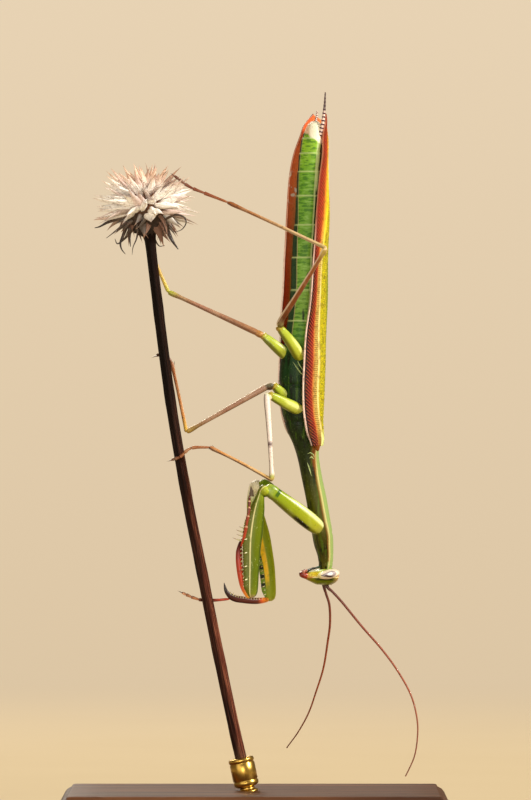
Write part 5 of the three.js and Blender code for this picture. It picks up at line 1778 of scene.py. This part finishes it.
def hook_finish():
    """Dark brown dried bracts, greyer towards their roots."""
    finish = Finish("dried_hooks", 0.6, Coat_Weight=0.1)
    along = finish.lie()[0]
    finish.colour = finish.ramp(along, (0.0, "6e625a"), (0.3, "4a3a30"), (0.6, "2c1e18"), (1.0, "17100c"))
    finish.paint(finish.patches(2600, 3, 0.5, 0.7), "7a5a44", 0.3)
    return finish.made(finish.noise(3600, 3), 0.00004)


def bract_roots(count, seed, top, bottom, reach, width):
    """Roots on a spiral over the knob, between two heights given as shares of its round."""
    random.seed(seed)
    golden = HALF_TURN * (3 - math.sqrt(5))
    roots = Roots()
    for index in range(count):
        share = top + (bottom - top) * (index + 0.5) / count
        down = math.acos(1 - 2 * share) + random.uniform(-0.1, 0.1)
        round_ = golden * index + random.uniform(-0.15, 0.15)
        out = Vector((
            math.sin(down) * math.cos(round_), math.sin(down) * math.sin(round_), math.cos(down),
        ))
        lie = out + Vector([random.uniform(-0.2, 0.2) for axis in range(3)])
        in_hollow = out.y < -0.5 and -0.6 < out.z < -0.05
        if in_hollow and index % 3:
            continue
        root = KNOB_CENTRE + Vector([radius * part * 0.8 for radius, part in zip(KNOB_RADII, out)])
        whole = FLOWER_RADIUS - 1.9 * max(out.z, 0) - 0.8 * max(-out.z, 0) + 1.4 * abs(out.x) * max(out.z, 0)
        length = (whole - (root - FLOWER_CENTRE).length) * random.uniform(*reach)
        face = Vector((0, 0, -1)) + 0.8 * Vector([random.uniform(-1, 1) for axis in range(3)])
        roots.add(root, lie, face, length, random.uniform(*width), 0.3)
    return roots


def stalk_girth(share):
    return (STALK_RADIUS - STALK_TAPER * share,) * 2


def knob_mesh(sides=72, steps=56):
    """The knob with the small humps of its scales in slanting rows."""
    rings = []
    for share in spread(0.01, 0.99, steps):
        down = HALF_TURN * share
        ring = []
        for side in range(sides):
            angle = FULL_TURN * side / sides
            humps = math.cos(12 * angle + 9 * HALF_TURN * share) * math.cos(18 * HALF_TURN * share)
            out = (math.sin(down) * math.cos(angle), math.sin(down) * math.sin(angle), -math.cos(down))
            corner = Vector([radius * part for radius, part in zip(KNOB_RADII, out)])
            ring.append(KNOB_CENTRE + (1 + 0.07 * humps) * corner)
        rings.append(ring)
    return skin("flower_knob", [tube(rings, spread(0, 1, steps))])


stalk = limb(Course(STALK), stalk_girth, SIDE_ON, sides=72, steps=280, swell=stalk_swell)
piece("dry_stalk", skin("dry_stalk", [stalk]), stalk_finish(), "stalk", "perch_stem")
piece("flower_knob", knob_mesh(), knob_finish(), "flower", "perch_flower_head")

papery = bract_finish("papery_bracts", "9c9088", "fffbf5", "f0cfb6")
withered = bract_finish("withered_bracts", "5a5048", "8a817c", "c9b09a")
for name, material, roots, shape in (
    ("crown", papery, bract_roots(104, 5, 0.0, 0.36, (0.74, 1.04), (0.24, 0.38)), (0.6, 0.1, 0.5, 3)),
    ("side", papery, bract_roots(84, 9, 0.3, 0.64, (0.76, 1.06), (0.32, 0.5)), (0.8, 0.12, 0.4, 4)),
    ("under", withered, bract_roots(64, 13, 0.6, 0.86, (0.42, 0.78), (0.26, 0.42)), (0.7, 0.35, 0.6, 6)),
):
    belly, bend, uneven, seed = shape
    mesh = growths.run(
        f"{name}_bracts", roots.mesh("roots"),
        belly=belly, flatness=0.5, bend=bend, uneven=uneven, seed=seed, material=material,
    )
    piece(f"flower_{name}_bracts", mesh, material, "flower")

hooks = []
for radius, points in FLOWER_HOOKS:
    def hook_girth(share, radius=radius):
        return (radius * (1 - 0.92 * share) ** 0.8,) * 2

    hooks.append(limb(Course(points), hook_girth, RIGHT, sides=12, steps=48))
piece("flower_hooks", skin("flower_hooks", hooks), hook_finish(), "flower")


# ---------- Stand ----------
# A plain oiled hardwood block with a moulded edge. A short turned brass rod screwed into it carries
# a brass cup, bored for the stalk's cut end and standing in line with it.

BASE_SIZE = (48, 34, 5)
BASE_CORNER = 1.4

# Inset from the block's outline and height of its edge moulding, from the underside to the top
MOULDING = [
    (1.2, 0), (0.35, 0), (0.1, 0.12), (0, 0.4), (0, 2.6), (0.06, 2.82), (0.25, 2.95), (0.6, 3), (0.66, 3.1),
    (0.7, 3.5), (0.85, 3.95), (1.15, 4.35), (1.6, 4.62), (1.75, 4.68), (1.8, 4.86), (1.92, 4.96), (2.1, 5),
    (6, 5), (16.5, 5),
]

# Radius and place along the stalk's line of the turned brass, up the outside and down the bore
BRASS_TURNING = [
    (0.3, -2.2), (1.1, -2.2), (1.25, -2.15), (1.28, -2.0), (1.2, -1.88), (0.95, -1.8), (0.88, -1.6),
    (0.9, -1.45), (1.2, -1.38), (1.42, -1.25), (1.5, -1.05), (1.5, -0.8), (1.42, -0.72), (1.42, -0.62),
    (1.5, -0.54), (1.5, 1.35), (1.43, 1.43), (1.43, 1.53), (1.52, 1.62), (1.55, 1.8), (1.5, 1.98),
    (1.38, 2.08), (1.2, 2.1), (1.02, 2.06), (0.98, 1.95), (0.98, 0.3), (0.96, -0.25), (0.85, -0.3),
    (0.3, -0.3),
]


def outline(inset):
    """A ring of the block's rounded outline, moved inwards."""
    length, width = BASE_SIZE[0] / 2 - inset, BASE_SIZE[1] / 2 - inset
    radius = max(BASE_CORNER - inset, 0.25)
    ring = []
    for x, y, start in ((1, 1, 0), (-1, 1, 0.25), (-1, -1, 0.5), (1, -1, 0.75)):
        corner_x, corner_y = x * (length - radius), y * (width - radius)
        for angle in spread(FULL_TURN * start, FULL_TURN * (start + 0.25), 8):
            ring.append((corner_x + radius * math.cos(angle), corner_y + radius * math.sin(angle)))
    return ring


def base_mesh():
    rings = [[Vector((x, y, height)) for x, y in outline(inset)] for inset, height in MOULDING]
    return skin("stand_base", [tube(rings, spread(0, 1, len(MOULDING) - 1))])


def wood_finish():
    """Dark oiled hardwood with long grain, fine pores and a soft sheen."""
    finish = Finish("oiled_hardwood", 0.5, Specular_IOR_Level=0.3, Coat_Weight=0.05, Coat_Roughness=0.4)
    grain = finish.noise(1.0, 5, finish.stretched(45, 420, 420))
    rings = finish.node("ShaderNodeTexWave", {
        "Vector": finish.stretched(12, 150, 150), "Scale": 1.0,
        "Distortion": 5.0, "Detail": 3.0, "Detail Scale": 1.2,
    }, bands_direction="DIAGONAL").outputs["Fac"]
    finish.colour = finish.ramp(grain, (0.3, "3a2012"), (0.5, "5a3620"), (0.7, "7a4e30"))
    finish.paint(rings, "2e180e", 0.35)
    pores = finish.noise(1.0, 2, finish.stretched(260, 4200, 4200)).step(0.62, 0.7)
    finish.paint(pores, "20100a", 0.5)
    return finish.made(grain - pores, 0.00003)


def brass_mesh(sides=96):
    """The rod and its cup, turned about the line of the stalk's lowest stretch."""
    foot = Vector(STALK[0])
    lean = (Vector(STALK[1]) - foot).normalized()
    across = Vector((0, 1, 0))
    over = lean.cross(across)
    rings = []
    for radius, place in BRASS_TURNING:
        centre = foot + place * lean
        ring = [centre + radius * (right * over + up * across) for right, up in circle(sides)]
        rings.append(ring[::-1])
    return skin("stand_rod", [tube(rings, spread(0, 1, len(rings) - 1))])


def brass_finish():
    """Satin brass with faint turning marks and a little tarnish."""
    finish = Finish("satin_brass", 0.3, Metallic=1.0)
    marks = finish.noise(1.0, 2, finish.stretched(60, 60, 9000))
    tarnish = finish.patches(500, 4, 0.45, 0.75)
    finish.colour = finish.mix(tarnish, "c9a24e", "9a7430", 0.5)
    return finish.made(marks, 0.000004)


piece("stand_base", base_mesh(), wood_finish(), "base_wood", "stand_base")
piece("stand_rod", brass_mesh(), brass_finish(), "rod_brass", "stand_rod")


# ---------- Stage, light and camera ----------
# A plain pale floor that runs without an edge into a warm sky, a large warm lamp high on the right,
# soft fills from the front and the left, and a rim lamp behind, seen from the front by one long lens.

# The sky's colour low and high, how far off the horizon the change between them reaches, and how much
# of it lights the scene
SKY_LOW = (0.7, 0.545, 0.355)
SKY_HIGH = (0.81, 0.655, 0.46)
SKY_REACH = 0.06
SKY_LIGHT = 0.24
FLOOR_RINGS = (0.5, 60, 150, 300, 600, 1500, 6000, 20000, 45000)
LAMPS = [
    # Name, place (mm), aim (mm), size (mm), power (W), colour
    ("key", (910, -400, 750), (0, 0, 50), 228, 18.4, (1.0, 0.95, 0.86)),
    ("fill", (-380, -480, 200), (0, 0, 45), 420, 0.7, (1.0, 0.94, 0.84)),
    ("front", (-60, -700, 140), (0, 0, 50), 300, 1.4, (1.0, 0.95, 0.86)),
    ("rim", (-160, 460, 340), (0, 0, 55), 260, 1.6, (1.0, 0.92, 0.8)),
]
CAMERA_PLACE = Vector((1.32, -900, 51.8))
CAMERA_LENS = 337.5
CAMERA_SENSOR = 36


def sky(tree, share):
    """The colour of the sky at a share of the way up from the horizon's low side."""
    ramp = tree.node("ShaderNodeValToRGB", {"Fac": share})
    ramp.color_ramp.elements[0].color = (*SKY_LOW, 1)
    ramp.color_ramp.elements[1].color = (*SKY_HIGH, 1)
    return ramp.outputs["Color"]


def floor_mesh(sides=96):
    """A round floor, so wide that its edge meets the sky."""
    points = [Vector((0, 0, 0))]
    for radius in FLOOR_RINGS:
        points += [Vector((radius * x, radius * y, 0)) * MM for x, y in circle(sides)]
    faces = [(0, 1 + side, 1 + (side + 1) % sides) for side in range(sides)]
    for row in range(len(FLOOR_RINGS) - 1):
        for side in range(sides):
            a, b = 1 + row * sides + side, 1 + row * sides + (side + 1) % sides
            faces.append((a, a + sides, b + sides, b))
    mesh = bpy.data.meshes.new("floor")
    mesh.from_pydata(points, [], faces)
    return mesh


def floor_finish():
    """Matt pale floor near the stand that turns, far off, into the colour of the sky behind it."""
    finish = Finish("pale_floor", 0.9, Specular_IOR_Level=0.1)
    finish.colour = finish.mix(finish.noise(30, 2), "d0be9c", "ccb996")
    radius = finish.value("ShaderNodeVectorMath", {0: finish.place()}, "Value", operation="LENGTH")
    sight = finish.maths("DIVIDE", -CAMERA_PLACE.z * MM, radius - CAMERA_PLACE.y * MM)
    share = (sight / (2 * SKY_REACH)).maths("ADD", 0.5, clamp=True)
    glow = finish.node("ShaderNodeEmission", {"Color": sky(finish, share)}).outputs[0]
    near, far = finish.shader.outputs[0], radius.step(0.1, 0.5)
    blended = finish.node("ShaderNodeMixShader", {0: far, 1: near, 2: glow}).outputs[0]
    finish.group.links.new(blended, finish.group.nodes["Material Output"].inputs["Surface"])
    return finish.made()


floor = bpy.data.objects.new("floor", floor_mesh())
bpy.context.scene.collection.objects.link(floor)
floor.data.materials.append(floor_finish())

world = bpy.data.worlds.new("studio")
world.use_nodes = True
bpy.context.scene.world = world
air = Tree(world.node_tree)
_, _, rise = air.parts(air.node("ShaderNodeTexCoord", {}).outputs["Generated"])
seen = air.node("ShaderNodeLightPath", {}).outputs["Is Camera Ray"]
strength = air.node("ShaderNodeMapRange", {"Value": seen, "To Min": SKY_LIGHT, "To Max": 1.0})
backdrop = air.group.nodes["Background"].inputs
air.group.links.new(sky(air, rise.share(-SKY_REACH, SKY_REACH)), backdrop["Color"])
air.group.links.new(strength.outputs["Result"], backdrop["Strength"])

for name, place, aim, size, power, colour in LAMPS:
    lamp = bpy.data.lights.new(name, "AREA")
    lamp.shape, lamp.size, lamp.energy, lamp.color = "DISK", size * MM, power, colour
    shown = bpy.data.objects.new(name, lamp)
    shown.location = Vector(place) * MM
    shown.rotation_euler = (Vector(aim) - Vector(place)).to_track_quat("-Z", "Y").to_euler()
    bpy.context.scene.collection.objects.link(shown)

lens = bpy.data.cameras.new("camera")
lens.lens, lens.sensor_width, lens.sensor_fit = CAMERA_LENS, CAMERA_SENSOR, "AUTO"
lens.clip_start, lens.clip_end = 0.01, 200
camera = bpy.data.objects.new("camera", lens)
camera.location = CAMERA_PLACE * MM
camera.rotation_euler = (HALF_TURN / 2, 0, 0)
bpy.context.scene.collection.objects.link(camera)
bpy.context.scene.camera = camera
bpy.context.scene.view_settings.view_transform = "Standard"
